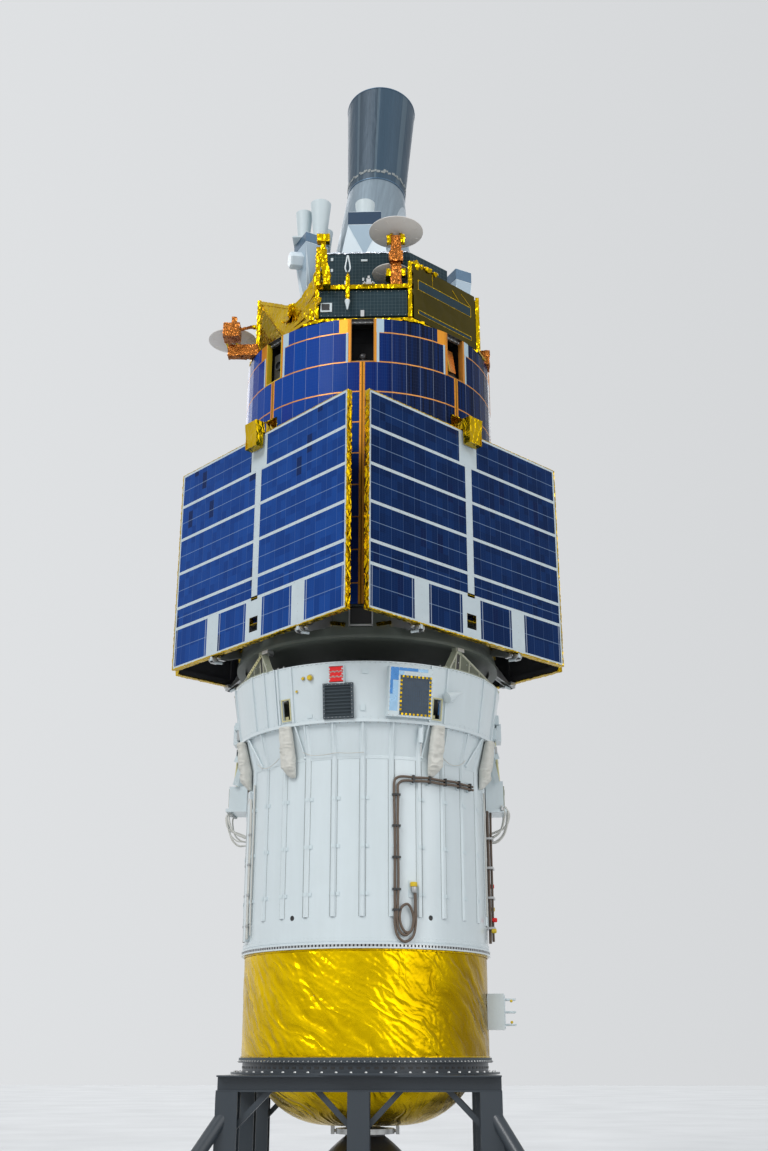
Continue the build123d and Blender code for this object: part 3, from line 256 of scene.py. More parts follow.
def makePaint(name, colour, dirt, rough=0.3, coat=0.5, grain=3.0, wear=0.35):
    # sprayed paint with faint mottling, streaks that run down, and orange peel
    f = Finish(name)
    at = f.place()
    streaks = f.noise(f.turn(at, (1.0, 1.0, 0.08)), grain * 5, 4.0)
    mottle = f.noise(at, grain, 5.0)
    grime = f.maths("SMOOTH_MIN", streaks * mottle * 1.6, 0.55, 0.2) * wear
    peel = f.noise(at, 160.0, 2.0)
    return f.done(
        Base_Color=f.blend(grime, colour, dirt),
        Metallic=0.0,
        Roughness=mottle * 0.16 + (rough - 0.06),
        Coat_Weight=coat,
        Coat_Roughness=0.12,
        Normal=f.bump(peel + mottle * 2.0, 0.06, 0.004),
    )


def makeMetal(name, colour, rough=0.35, grain=24.0):
    # machined aluminium, faint tool marks and stains
    f = Finish(name)
    at = f.place()
    marks = f.noise(f.turn(at, (0.15, 0.15, 3.0)), grain, 3.0)
    stain = f.noise(at, 4.0, 5.0)
    dull = tuple(c * 0.72 for c in colour)
    return f.done(
        Base_Color=f.blend(stain, colour, dull),
        Metallic=0.9,
        Roughness=stain * 0.2 + (rough - 0.1),
        Normal=f.bump(marks, 0.12, 0.002),
    )


def makeCloth(name, colour, shade, pitch=0.004):
    # woven glass cloth: crossed threads and a few broad stains
    f = Finish(name)
    at = f.place()
    x, y, z = f.split(at)
    weave = f.maths("SINE", (x + y) * (6.283 / pitch)) * f.maths("SINE", (z - y) * (6.283 / pitch))
    stain = f.noise(at, 11.0, 5.0)
    return f.done(
        Base_Color=f.blend(stain, colour, shade),
        Metallic=0.0,
        Roughness=stain * 0.1 + 0.72,
        Normal=f.bump(weave * 0.3 + stain * 2.0, 0.3, 0.002),
    )


def makeSolarDrum():
    # facets of covered cells, copper seams, pale gaps, orange tapes at each window
    f = Finish("solarDrum")
    at = f.place()
    x, y, z = f.split(at)
    azimuth = f.maths("ARCTAN2", x, y * -1.0) * (180 / math.pi)
    facet = 360 / stack["facets"]
    facetNumber = f.maths("FLOOR", azimuth / facet)
    metres = math.pi * stack["drumRadius"] / 180
    # rows of cells between the copper seams, counted down from the highest seam
    seams = {"highest": 9.07, "row": 0.3655, "half": 0.0072, "upTo": 9.14}
    row = (seams["highest"] - z) / seams["row"]
    rowNumber = f.maths("FLOOR", row)
    seam = f.lines(row, 1.0, seams["half"] / seams["row"]) & (z < seams["upTo"])
    gap = f.lines(azimuth, facet, 0.0028 / metres)
    cellLine = f.lines(azimuth, facet / 8, 0.0011 / metres) | f.lines(z, 0.0406, 0.0009)
    fromWindow = (azimuth - f.maths("SNAP", azimuth + 22.5, 45.0)) * metres
    below, beside, above = z < stack["windowLow"], z > stack["windowLow"], z > seams["highest"]
    stripe = (abs(fromWindow) < 0.029) & below
    groove = (abs(fromWindow) < 0.007) & below
    tapeBeside = f.near(abs(fromWindow), 0.143, 0.012) & beside
    copperPatch = f.near(fromWindow, -0.205, 0.055) & above
    whiteRight = (f.near(fromWindow, 0.170, 0.014) & beside) | (f.near(fromWindow, 0.195, 0.042) & above)
    whiteLeft = f.near(fromWindow, -0.170, 0.012) & f.near(z, 8.885, 0.185)
    inside = (x * x + y * y) < (stack["drumRadius"] - 0.03) ** 2
    tint = f.chance(facetNumber, rowNumber, 2.0)
    column = f.chance(f.maths("FLOOR", azimuth / (facet / 8)), rowNumber, 5.0)
    # painted reflection and shade: the cover glass is painted bluest on the left of the front and nearly
    # black on its right
    side = f.maths("MINIMUM", f.maths("MAXIMUM", x * 1.1 + 0.42, 0.0), 1.0)
    blue = f.blend(side, (0.008, 0.064, 0.340), (0.0015, 0.005, 0.022))
    blue = f.blend(tint * 0.8, blue, f.blend(side, (0.018, 0.036, 0.250), (0.002, 0.003, 0.010)))
    blue = f.blend(column * 0.30, blue, (0.006, 0.050, 0.250))
    blue = f.blend(cellLine * 0.16, blue, (0.10, 0.16, 0.40))
    blue = f.blend(gap * 0.55, blue, (0.26, 0.32, 0.46))
    copper = (0.62, 0.27, 0.07)
    orange = (0.66, 0.27, 0.03)
    skyWhite = (0.45, 0.58, 0.66)
    colour = f.blend(seam, blue, copper)
    colour = f.blend(stripe, colour, orange)
    colour = f.blend(groove, colour, (0.16, 0.08, 0.01))
    colour = f.blend(tapeBeside | copperPatch, colour, orange)
    colour = f.blend(whiteRight | whiteLeft, colour, skyWhite)
    colour = f.blend(inside, colour, (0.014, 0.015, 0.016))
    tape = seam | stripe | tapeBeside | copperPatch
    paint = whiteRight | whiteLeft | inside
    relief = (tape | paint) * 1.0 - gap * 0.8 - cellLine * 0.15
    return f.done(
        Base_Color=colour,
        Metallic=tape * 0.5,
        Roughness=tape * 0.22 + paint * 0.35 + tint * 0.05 + 0.12,
        Coat_Weight=0.0,
        Specular_IOR_Level=0.035,
        Normal=f.bump(relief, 0.5, 0.0015),
    )


def makeSolarPaddle(name, azimuth):
    # outer face: rows of covered cells between pale strips; back and edges plain
    f = Finish(name)
    at = f.place()
    local = f.turn(at, angle=(0.0, 0.0, math.radians(-azimuth)))
    across, depth, z = f.split(local)
    up = z - paddle["low"]
    outer = (depth * -1.0) > (paddle["outer"] - 0.004)
    rows = {"half": 0.017, "border": 0.026, "foot": 0.024, "middle": 0.049, "tab": 0.135, "thin": 0.0035}
    highest, lowest = paddle["strips"][0], paddle["strips"][-1]
    strip = f.near(up, highest, rows["half"])
    for level in paddle["strips"][1:]:
        strip = strip | f.near(up, level, rows["half"])
    height = paddle["high"] - paddle["low"]
    outside = (abs(across) > (paddle["half"] - rows["border"])) | (up > (height - rows["border"]))
    rim = outside | (up < rows["foot"])
    centre = abs(across) < rows["middle"]
    tab = (abs(across) < rows["tab"]) & (up > highest)
    patch = (abs(across) < rows["tab"]) & (up < lowest)
    leg = f.near(abs(across), paddle["leg"], 0.102) & (up < lowest)
    frameLine = (
        f.near(abs(across), 0.850, 0.006)
        | f.near(abs(across), 0.590, 0.006)
        | f.near(abs(across), 0.166, 0.005)
        | f.near(abs(across), 1.392, 0.005)
    ) & (up < lowest)
    pale = strip | rim | centre | tab | patch | leg
    halfRow = f.near(up, 2.135, rows["thin"])
    for level in (1.73, 1.32, 0.905, 0.58, 0.235):
        halfRow = halfRow | f.near(up, level, rows["thin"])
    columnPitch = 0.0405
    columns = f.lines(across, columnPitch, 0.0013)
    courses = f.lines(up, 0.0205, 0.0008)
    bays = f.lines(across, columnPitch * 4, 0.0026)
    columnNumber = f.maths("FLOOR", across / (columnPitch * 2))
    bandNumber = f.maths("FLOOR", up / 0.205)
    tint = f.chance(columnNumber, bandNumber, 3.0 + azimuth)
    darkCell = f.chance(columnNumber, bandNumber, 11.0 + azimuth) > 0.965
    # painted reflection: the two left paddles' cells are painted brighter than the right ones'
    deep, bright = (0.003, 0.016, 0.070), (0.005, 0.027, 0.112)
    if azimuth in (-45, 225):
        deep, bright = (0.005, 0.042, 0.215), (0.009, 0.062, 0.285)
    blue = f.blend(tint, deep, bright)
    blue = f.blend(darkCell * 0.8, blue, (0.004, 0.012, 0.060))
    blue = f.blend((columns | courses) * 0.13, blue, (0.06, 0.13, 0.34))
    blue = f.blend(bays * 0.22, blue, (0.14, 0.24, 0.46))
    blue = f.blend(halfRow * 0.55, blue, (0.28, 0.40, 0.58))
    stain = f.noise(at, 6.0, 5.0)
    white = f.blend(stain, (0.62, 0.70, 0.73), (0.50, 0.58, 0.62))
    colour = f.blend(frameLine * 0.8, blue, (0.36, 0.42, 0.52))
    colour = f.blend(pale, colour, white)
    # the back: black film over the ribs of the panel
    backTone = f.blend(stain, (0.03, 0.03, 0.032), (0.06, 0.06, 0.062))
    colour = f.blend(outer, backTone, colour)
    cell = outer & (1.0 - pale)
    relief = pale * 1.0 - (columns | courses | bays | halfRow) * 0.25
    return f.done(
        Base_Color=colour,
        Metallic=0.0,
        Roughness=0.42 + stain * 0.1 - cell * 0.34,
        Specular_IOR_Level=0.05,
        Normal=f.bump(relief + f.noise(at, 1.4, 2.0) * 1.2, 0.4, 0.0012),
    )


def makeGridPanel(name, ground, line, pitch):
    # dark thermal panel of small square tiles
    f = Finish(name)
    at = f.place()
    x, _, z = f.split(at)
    grid = f.lines(x, pitch, 0.0014) | f.lines(z, pitch * 1.1, 0.0014)
    tint = f.noise(at, 7.0, 3.0)
    tone = f.blend(tint, ground, tuple(c * 1.7 for c in ground))
    return f.done(
        Base_Color=f.blend(grid * 0.75, tone, line),
        Metallic=0.0,
        Roughness=tint * 0.2 + 0.3,
        Specular_IOR_Level=0.12,
        Normal=f.bump(grid * -1.0, 0.4, 0.001),
    )


def makeSilverSheet(name, colour, seamTone, strips, axisTilt, metallic=0.92, rough=0.12, fine=1.0):
    # silvered film in long strips round the telescope's leaning axis
    f = Finish(name)
    at = f.place()
    flat = f.turn(at, angle=axisTilt)
    x, y, z = f.split(flat)
    azimuth = f.maths("ARCTAN2", x, y * -1.0) * (180 / math.pi)
    pitch = 360 / strips
    number = f.maths("FLOOR", azimuth / pitch)
    seam = f.lines(azimuth, pitch, 0.35)
    tint = f.chance(number, 1.0, 2.0)
    streak = f.noise(f.join(azimuth * 0.4 * fine, number, z * 0.5), 2.6, 4.0, 0.6)
    fold = f.noise(f.turn(flat, (3.0, 3.0, 0.35)), 5.0, 2.0)
    darker = tuple(c * 0.42 for c in colour)
    tone = f.blend(streak * 0.7 + tint * 0.5, colour, darker)
    return f.done(
        Base_Color=f.blend(seam * 0.6, tone, seamTone),
        Metallic=metallic,
        Roughness=streak * 0.2 + rough,
        Normal=f.bump(fold * 2.0 + tint * 0.6 - seam * 0.4, 0.5, 0.006),
    )


def makeBraid(name, colour, pale):
    # braided sleeve along a cable, from the tube's own map
    f = Finish(name)
    along = f.node("ShaderNodeTexCoord", {}, {}, "UV")
    u, v, _ = f.split(along)
    twist = f.maths("SINE", (u + v * 40.0) * 6.283) * f.maths("SINE", (u * 1.0 - v * 40.0) * 6.283)
    stain = f.noise(f.place(), 30.0, 3.0)
    return f.done(
        Base_Color=f.blend(twist * 0.3 + stain * 0.5, colour, pale),
        Metallic=0.0,
        Roughness=stain * 0.2 + 0.5,
        Normal=f.bump(twist, 0.4, 0.0015),
    )


def makePlain(name, colour, rough=0.5, metallic=0.0, grain=18.0):
    # small fittings: slight tone change and a fine grain
    f = Finish(name)
    at = f.place()
    stain = f.noise(at, grain, 4.0)
    darker = tuple(c * 0.75 for c in colour)
    return f.done(
        Base_Color=f.blend(stain, colour, darker),
        Metallic=metallic,
        Roughness=stain * 0.2 + (rough - 0.1),
        Normal=f.bump(stain, 0.15, 0.002),
    )


goldTone = (0.80, 0.53, 0.003)
goldShadow = (0.34, 0.205, 0.001)
looks = {
    "gold": makeFoil("goldFoil", goldTone, goldShadow, 6.0, 0.34, 0.2),
    # a darker copy of the gold foil: painted shade for the gusset sheets
    "goldPaintedShade": makeFoil("goldPaintedShade", (0.40, 0.275, 0.004), (0.15, 0.095, 0.001), 5.0, 0.35, 0.2),
    "goldBand": makeBandFoil("goldBand", (0.92, 0.62, 0.0015), (0.34, 0.205, 0.0006)),
    "copper": makeFoil("copperFoil", (0.55, 0.19, 0.035), (0.15, 0.045, 0.010), 14.0, 0.5, 0.2),
    "deckFoil": makeFoil("deckFoil", (0.13, 0.100, 0.014), (0.045, 0.038, 0.010), 2.0, 0.16, 0.14),
    "white": makePaint("whitePaint", (0.67, 0.75, 0.78), (0.45, 0.50, 0.50)),
    "whiteMatte": makePaint("whiteMatte", (0.64, 0.73, 0.76), (0.47, 0.53, 0.54), 0.5, 0.1),
    # dark blue-grey paint, darkened further with painted shade
    "stand": makePaint("standShadedPaint", (0.022, 0.032, 0.043), (0.05, 0.055, 0.06), 0.42, 0.2),
    "metal": makeMetal("bareMetal", (0.58, 0.59, 0.59)),
    "aftGrey": makePaint("aftGrey", (0.090, 0.108, 0.092), (0.19, 0.20, 0.17), 0.45, 0.1, 2.0, 0.6),
    "primer": makePaint("primer", (0.34, 0.37, 0.28), (0.17, 0.17, 0.12), 0.42, 0.1, 6.0, 0.7),
    "primerDark": makePaint("primerDark", (0.150, 0.165, 0.115), (0.07, 0.075, 0.05), 0.5, 0.1, 6.0, 0.7),
    "footPale": makePaint("footPale", (0.56, 0.57, 0.44), (0.36, 0.36, 0.26), 0.45, 0.1, 6.0, 0.6),
    "carbon": makePlain("darkCarbon", (0.035, 0.035, 0.038), 0.42),
    "cloth": makeCloth("betaCloth", (0.72, 0.72, 0.68), (0.55, 0.54, 0.48)),
    "dish": makePaint("dishGrey", (0.80, 0.775, 0.74), (0.58, 0.54, 0.49), 0.5, 0.05),
    "black": makePlain("blackPlastic", (0.02, 0.02, 0.02), 0.4),
    "red": makePlain("redFabric", (0.86, 0.006, 0.008), 0.6),
    "yellow": makePlain("yellowCap", (0.78, 0.55, 0.02), 0.45),
    "slate": makePaint("slate", (0.040, 0.056, 0.068), (0.08, 0.10, 0.11), 0.5, 0.0),
    "braid": makeBraid("braidedSleeve", (0.085, 0.058, 0.042), (0.20, 0.15, 0.11)),
    "braidWhite": makeBraid("paleSleeve", (0.66, 0.66, 0.62), (0.45, 0.43, 0.38)),
    "drum": makeSolarDrum(),
    "deckGrid": makeGridPanel("deckGrid", (0.014, 0.030, 0.038), (0.085, 0.125, 0.140), 0.040),
    "paleYellow": makePlain("paleYellow", (0.66, 0.62, 0.33), 0.5),
    "filmBlue": makePlain("filmBlue", (0.06, 0.22, 0.52), 0.25, 0.5),
    "bandBlue": makePlain("bandBlue", (0.020, 0.055, 0.110), 0.35, 0.2),
    "bandSteel": makePlain("bandSteel", (0.085, 0.165, 0.260), 0.3, 0.3),
    "filmPale": makePlain("filmPale", (0.34, 0.56, 0.78), 0.3, 0.3),
    "seamGrey": makePlain("seamGrey", (0.30, 0.33, 0.33), 0.6),
    "orangeTape": makePlain("orangeTape", (0.60, 0.25, 0.04), 0.35, 0.3),
    "copperSheet": makePlain("copperSheet", (0.70, 0.30, 0.07), 0.25, 0.8),
    "silverFilm": makeFoil("silverFilm", (0.75, 0.79, 0.84), (0.30, 0.34, 0.42), 14.0, 0.5, 0.2),
    "silverWhite": makeMetal("silverWhite", (0.74, 0.80, 0.84), 0.3, 12.0),
    "sensorWhite": makePaint("sensorWhite", (0.76, 0.86, 0.92), (0.56, 0.68, 0.78), 0.3, 0.4, 5.0),
    "deckStrip": makeGridPanel("deckStrip", (0.014, 0.030, 0.040), (0.03, 0.05, 0.06), 0.12),
    "coreBlue": makePlain("coreBlue", (0.030, 0.062, 0.105), 0.35),
    # a darker copy of sensorWhite: painted shade on the sensors' middle facets
    "sensorShade": makePaint("sensorShade", (0.40, 0.52, 0.62), (0.30, 0.42, 0.52), 0.3, 0.3, 5.0),
    "sensorGrey": makePlain("sensorGrey", (0.050, 0.053, 0.057), 0.32, 0.3),
}
for name, azimuth in paddle["azimuths"].items():
    looks[name] = makeSolarPaddle(name + "_cells", azimuth)
leanBack = (math.radians(-10.0), math.radians(1.9), 0.0)
# painted reflection: the silvered barrel is coloured the dark blue of the ceiling that it mirrors, with
# lighter seams
barrelTonesWithReflection = (0.040, 0.088, 0.140), (0.100, 0.150, 0.190)
looks["barrel"] = makeSilverSheet("silverBarrel", *barrelTonesWithReflection, 60, leanBack, 0.30, 0.34, 3.5)
coneTones = (0.42, 0.54, 0.64), (0.60, 0.68, 0.74)
looks["cone"] = makeSilverSheet("silverCone", *coneTones, 18, leanBack, 0.35, 0.32)
print("materials made,", len(looks))

finishOf = {
    "stand": [
        "stand_ring", "stand_long_beams", "stand_cross_beams",
        "stand_posts", "stand_outriggers", "stand_braces",
    ],
    "white": [
        "aft_skirt", "aft_flange", "interstage", "interstage_flare", "equipment_section", "side_boxes",
        "flare_struts", "raceway", "service_box", "cone_antenna",
    ],
    "whiteMatte": ["sensor_boxes", "horn_antennas", "radiator_panel"],
    "goldBand": ["skirt_blanket", "first_motor"],
    "gold": [
        "paddle_latches", "deck_base", "deck_posts", "gusset_frame",
        "foil_mast", "front_antenna", "boom_bracket",
    ],
    "copper": ["copper_boxes", "front_mast", "left_boom"],
    "metal": ["nozzle_lugs", "gimbal_ring", "hinge_arms"],
    "carbon": ["exit_cone", "second_motor"],
    "primer": ["adapter_trusses", "equipment_deck"],
    "aftGrey": ["aft_body"],
    "drum": ["solar_drum"],
    "sensorGrey": ["window_sensors"],
    "deckFoil": ["deck_foil_panels"],
    "deckGrid": ["deck_grid_panels", "payload_deck"],
    "dish": ["upper_dish", "lower_dish", "left_dish"],
    "barrel": ["telescope_barrel"],
    "cone": ["telescope_cone"],
    "slate": ["louvre_panel"],
    "red": ["red_cover"],
    "cloth": ["cover_bags"],
    "braid": ["front_harness", "side_harness"],
}
finishOf.update({name: [name] for name in paddle["azimuths"]})
for look, names in finishOf.items():
    for name in names:
        nodes[name].data.materials.clear()
        nodes[name].data.materials.append(looks[look])
print("finishes given to the nodes")


# Mesh helpers: a shape is its points and a list of face arrays

lattice = np.random.default_rng(11).random((32, 32, 32)) * 2 - 1


def crumple(points, size, shift=0.0):
    # value noise: random numbers on a cubic lattice, blended in straight lines inside each cell
    scaled = points / size + shift
    cell = np.floor(scaled).astype(int)
    part = scaled - cell
    total = np.zeros(len(points))
    for step in np.ndindex(2, 2, 2):
        weight = np.abs(1 - np.array(step) - part).prod(axis=1)
        spot = (cell + step) % 32
        total += weight * lattice[spot[:, 0], spot[:, 1], spot[:, 2]]
    return total


def creased(points, size, depth):
    # foil: each axis moves by folded noise, coarse and fine, so flat faces meet in sharp creases
    moved = points.copy()
    for axis in range(3):
        coarse = 1 - 3 * np.abs(crumple(points[:, [1, 2, 0]] + points * 0.35, size, 3.7 * axis + 1.1))
        fine = 1 - 3 * np.abs(crumple(points + points[:, [2, 0, 1]] * 0.4, size * 0.43, 5.3 * axis + 9.4))
        moved[:, axis] += depth * (0.65 * coarse + 0.35 * fine)
    return moved


def joined(shapes):
    points, faces, start = [], [], 0
    for shapePoints, groups in shapes:
        points.append(shapePoints)
        for group in groups:
            faces += (group + start).tolist()
        start += len(shapePoints)
    return np.concatenate(points), faces


def placePiece(mesh, look, body, sharp, replaced):
    # a finished mesh gets its look and shading, rides on its body and hides the nodes that it replaces
    mesh.materials.append(looks[look])
    mesh.polygons.foreach_set("use_smooth", np.ones(len(mesh.polygons), dtype=bool))
    if sharp is not None:
        mesh.set_sharp_from_angle(angle=math.radians(sharp))
    mesh.update()
    piece = bpy.data.objects.new(mesh.name, mesh)
    bpy.context.scene.collection.objects.link(piece)
    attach(piece, body)
    if replaced:
        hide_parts(*replaced)
    return piece


def makePiece(name, shapes, look, body="stack", sharp=30, replaced=(), around=None):
    # shapes is a list of (points, face arrays); around holds each point's own map
    points, faces = joined(shapes)
    mesh = bpy.data.meshes.new(name)
    mesh.from_pydata(points.tolist(), [], faces)
    if around is not None:
        layer = mesh.uv_layers.new(name="around")
        corner = np.empty(len(mesh.loops), dtype=np.int32)
        mesh.loops.foreach_get("vertex_index", corner)
        layer.data.foreach_set("uv", np.ascontiguousarray(around[corner], dtype=np.float32).ravel())
    return placePiece(mesh, look, body, sharp, replaced)


def gridFaces(rows, columns, closed=False):
    # quads between neighbouring rows and columns; closed joins the last column to the first
    strips = columns if closed else columns - 1
    row, column = np.meshgrid(np.arange(rows - 1), np.arange(strips), indexing="ij")
    across = (column + 1) % columns
    low, high = row * columns, (row + 1) * columns
    return np.stack((low + column, low + across, high + across, high + column), axis=-1).reshape(-1, 4)


def polar(azimuth, radius, z):
    # point at an azimuth in degrees, a radius and a height
    a = np.radians(azimuth)
    return np.stack(np.broadcast_arrays(radius * np.sin(a), -radius * np.cos(a), z), axis=-1).astype(float)


def evenly(count, start=0.0):
    # azimuths of a full ring
    return start + np.arange(count) * 360 / count


def axesAt(azimuth):
    # right and outward directions at an azimuth
    a = np.radians(np.asarray(azimuth, dtype=float))
    zero = a * 0
    return np.stack((np.cos(a), np.sin(a), zero), -1), np.stack((np.sin(a), -np.cos(a), zero), -1)


def unit(vectors):
    return vectors / np.linalg.norm(vectors, axis=-1, keepdims=True)


cubeCorners = np.array([(x, y, z) for z in (-1, 1) for y in (-1, 1) for x in (-1, 1)], dtype=float)
cubeFaces = np.array([(0, 2, 3, 1), (4, 5, 7, 6), (0, 1, 5, 4), (2, 6, 7, 3), (0, 4, 6, 2), (1, 3, 7, 5)])


def boxes(centre, right, up, out):
    # boxes from their centres and three half edges each
    centre = np.atleast_2d(centre)
    points = centre[:, None, :]
    for i, edge in enumerate((right, up, out)):
        edge = np.broadcast_to(np.atleast_2d(edge), centre.shape)
        points = points + cubeCorners[None, :, i : i + 1] * edge[:, None, :]
    faces = cubeFaces[None] + 8 * np.arange(len(centre))[:, None, None]
    return points.reshape(-1, 3), [faces.reshape(-1, 4)]


def wallBoxes(azimuth, z, radius, width, height, depth):
    # boxes that stand out of a round wall, sized across, up and out
    azimuth, z = np.broadcast_arrays(np.atleast_1d(np.asarray(azimuth, dtype=float)), z)
    right, out = axesAt(azimuth)
    up = upright * (height / 2)
    return boxes(polar(azimuth, radius + depth / 2, z), right * width / 2, up, out * depth / 2)


def buttons(centre, out, radius, height, sides=8):
    # round heads: a ring at the foot, a smaller ring at the top, both closed
    centre = np.atleast_2d(centre)
    out = unit(np.broadcast_to(np.atleast_2d(out), centre.shape))
    helper = np.where(np.abs(out[:, 2:3]) > 0.9, [[1.0, 0, 0]], [[0, 0, 1.0]])
    first = unit(np.cross(helper, out))
    second = np.cross(out, first)
    turn = np.arange(sides) * 2 * math.pi / sides
    ring = first[:, None] * np.cos(turn)[None, :, None] + second[:, None] * np.sin(turn)[None, :, None]
    low = centre[:, None] + ring * radius
    high = centre[:, None] + ring * radius * 0.72 + out[:, None] * height
    points = np.concatenate((low, high), axis=1).reshape(-1, 3)
    start = 2 * sides * np.arange(len(centre))[:, None]
    corner = np.arange(sides)
    ahead = (corner + 1) % sides
    walls = np.stack((corner, ahead, ahead + sides, corner + sides), -1)[None] + start[:, :, None]
    return points, [walls.reshape(-1, 4), corner[None] + sides + start, corner[None, ::-1] + start]


def wallHeads(azimuth, reach, z, radius, height, sides=6):
    # round heads that stand out of a round wall
    _, out = axesAt(azimuth)
    return buttons(polar(azimuth, reach, z), out, radius, height, sides)


def throughPoints(points, count):
    # smooth line through listed points (Catmull-Rom), as evenly numbered samples
    points = np.asarray(points, dtype=float)
    padded = np.concatenate((2 * points[:1] - points[1:2], points, 2 * points[-1:] - points[-2:-1]))
    place = np.linspace(0, len(points) - 1, count)
    span = np.minimum(place.astype(int), len(points) - 2)
    t = (place - span)[:, None]
    a, b, c, d = (padded[span + i] for i in range(4))
    return 0.5 * (2 * b + (c - a) * t + (2 * a - 5 * b + 4 * c - d) * t**2 + (3 * b - a - 3 * c + d) * t**3)


def tube(path, radius, reference=(0.0, 0.0, 1.0), sides=10):
    # circle carried along a path, square to its direction, with closed ends; the map is turns and metres
    path = np.asarray(path, dtype=float)
    ahead = unit(np.gradient(path, axis=0))
    side = unit(np.cross(ahead, np.broadcast_to(np.asarray(reference, dtype=float), path.shape)))
    up = np.cross(side, ahead)
    turn = np.arange(sides) * 2 * math.pi / sides
    radius = np.broadcast_to(np.asarray(radius, dtype=float), (len(path),))[:, None, None]
    ring = side[:, None] * np.cos(turn)[None, :, None] + up[:, None] * np.sin(turn)[None, :, None]
    points = (path[:, None] + ring * radius).reshape(-1, 3)
    walls = gridFaces(len(path), sides, closed=True)[:, ::-1]
    first = np.arange(sides)[None]
    last = first[:, ::-1] + (len(path) - 1) * sides
    return points, [walls, first, last]


def tubeMap(path, sides=10):
    step = np.linalg.norm(np.diff(path, axis=0), axis=1)
    along = np.concatenate(((0.0,), np.cumsum(step)))
    return np.stack((np.tile(np.arange(sides) / sides, len(path)), np.repeat(along, sides)), -1)


def spun(profile, centre, axis, segments):
    # points of an outline of (radius, height) turned about an axis through the centre
    profile = np.asarray(profile, dtype=float)
    axis = unit(np.asarray(axis, dtype=float))
    helper = np.array([1.0, 0, 0]) if abs(axis[2]) > 0.9 else upright
    first = unit(np.cross(helper, axis))
    second = np.cross(axis, first)
    turn = np.arange(segments) * 2 * math.pi / segments
    ring = first[None] * np.cos(turn)[:, None] + second[None] * np.sin(turn)[:, None]
    points = profile[:, None, :1] * ring[None] + profile[:, None, 1:] * axis[None, None] + np.asarray(centre)
    return points.reshape(-1, 3)


def lathe(profile, centre=(0, 0, 0), axis=(0.0, 0.0, 1.0), segments=180):
    # ring from a closed outline
    faces = gridFaces(len(profile) + 1, segments, closed=True) % (len(profile) * segments)
    return spun(profile, centre, axis, segments), [faces]


def hoop(inner, outer, low, high):
    # flat band round the stack's axis
    return lathe([(inner, low), (outer, low), (outer, high), (inner, high)])


def turned(profile, centre, axis, segments=24):
    # solid of revolution, its ends closed by flat faces
    walls = gridFaces(len(profile), segments, closed=True)
    bottom = np.arange(segments)[None, ::-1]
    top = np.arange(segments)[None] + (len(profile) - 1) * segments
    return spun(profile, centre, axis, segments), [walls, bottom, top]


def foilBar(path, width, thick, reference, size=0.05, depth=0.004, step=0.02):
    # crinkled bar: a rectangle with cut corners carried along a path, then creased
    path = np.asarray(path, dtype=float)
    length = np.linalg.norm(np.diff(path, axis=0), axis=1).sum()
    count = max(4, int(length / step))
    share = np.linspace(0, 1, len(path))
    path = np.stack([np.interp(np.linspace(0, 1, count), share, path[:, i]) for i in range(3)], -1)
    ahead = unit(np.gradient(path, axis=0))
    side = unit(np.cross(ahead, np.broadcast_to(np.asarray(reference, dtype=float), path.shape)))
    up = np.cross(side, ahead)
    across = max(2, int(width / step))
    deep = max(1, int(thick / step))
    edge = np.linspace(-1, 1, across + 1)
    rise = np.linspace(-1, 1, deep + 1)
    outline = (
        [(e, -1) for e in edge[:-1]]
        + [(1, r) for r in rise[:-1]]
        + [(e, 1) for e in edge[:0:-1]]
        + [(-1, r) for r in rise[:0:-1]]
    )
    outline = np.array(outline, dtype=float)
    points = (
        path[:, None]
        + side[:, None] * outline[None, :, :1] * width / 2
        + up[:, None] * outline[None, :, 1:] * thick / 2
    ).reshape(-1, 3)
    ends = len(outline)
    first = np.arange(ends)[None]
    return creased(points, size, depth), [
        gridFaces(count, ends, closed=True)[:, ::-1],
        first,
        first[:, ::-1] + (count - 1) * ends,
    ]


def foilWrap(node, look, edge, size, depth, body="stack"):
    # foil over a CAD node: its skin is cut finer, then every point is creased
    source = bmesh.new()
    source.from_mesh(nodes[node].data)
    bmesh.ops.remove_doubles(source, verts=source.verts, dist=1e-5)
    bmesh.ops.recalc_face_normals(source, faces=source.faces)
    for _ in range(9):
        long = [e for e in source.edges if e.calc_length() > edge]
        if not long:
            break
        bmesh.ops.subdivide_edges(source, edges=long, cuts=1)
        bmesh.ops.triangulate(source, faces=source.faces)
    mesh = bpy.data.meshes.new(node + "_foil")
    source.to_mesh(mesh)
    source.free()
    points = np.empty(3 * len(mesh.vertices), dtype=np.float32)
    mesh.vertices.foreach_get("co", points)
    points = creased(points.reshape(-1, 3).astype(float), size, depth)
    mesh.vertices.foreach_set("co", points.astype(np.float32).ravel())
    placePiece(mesh, look, body, 24, (node,))


# Booster, lower end

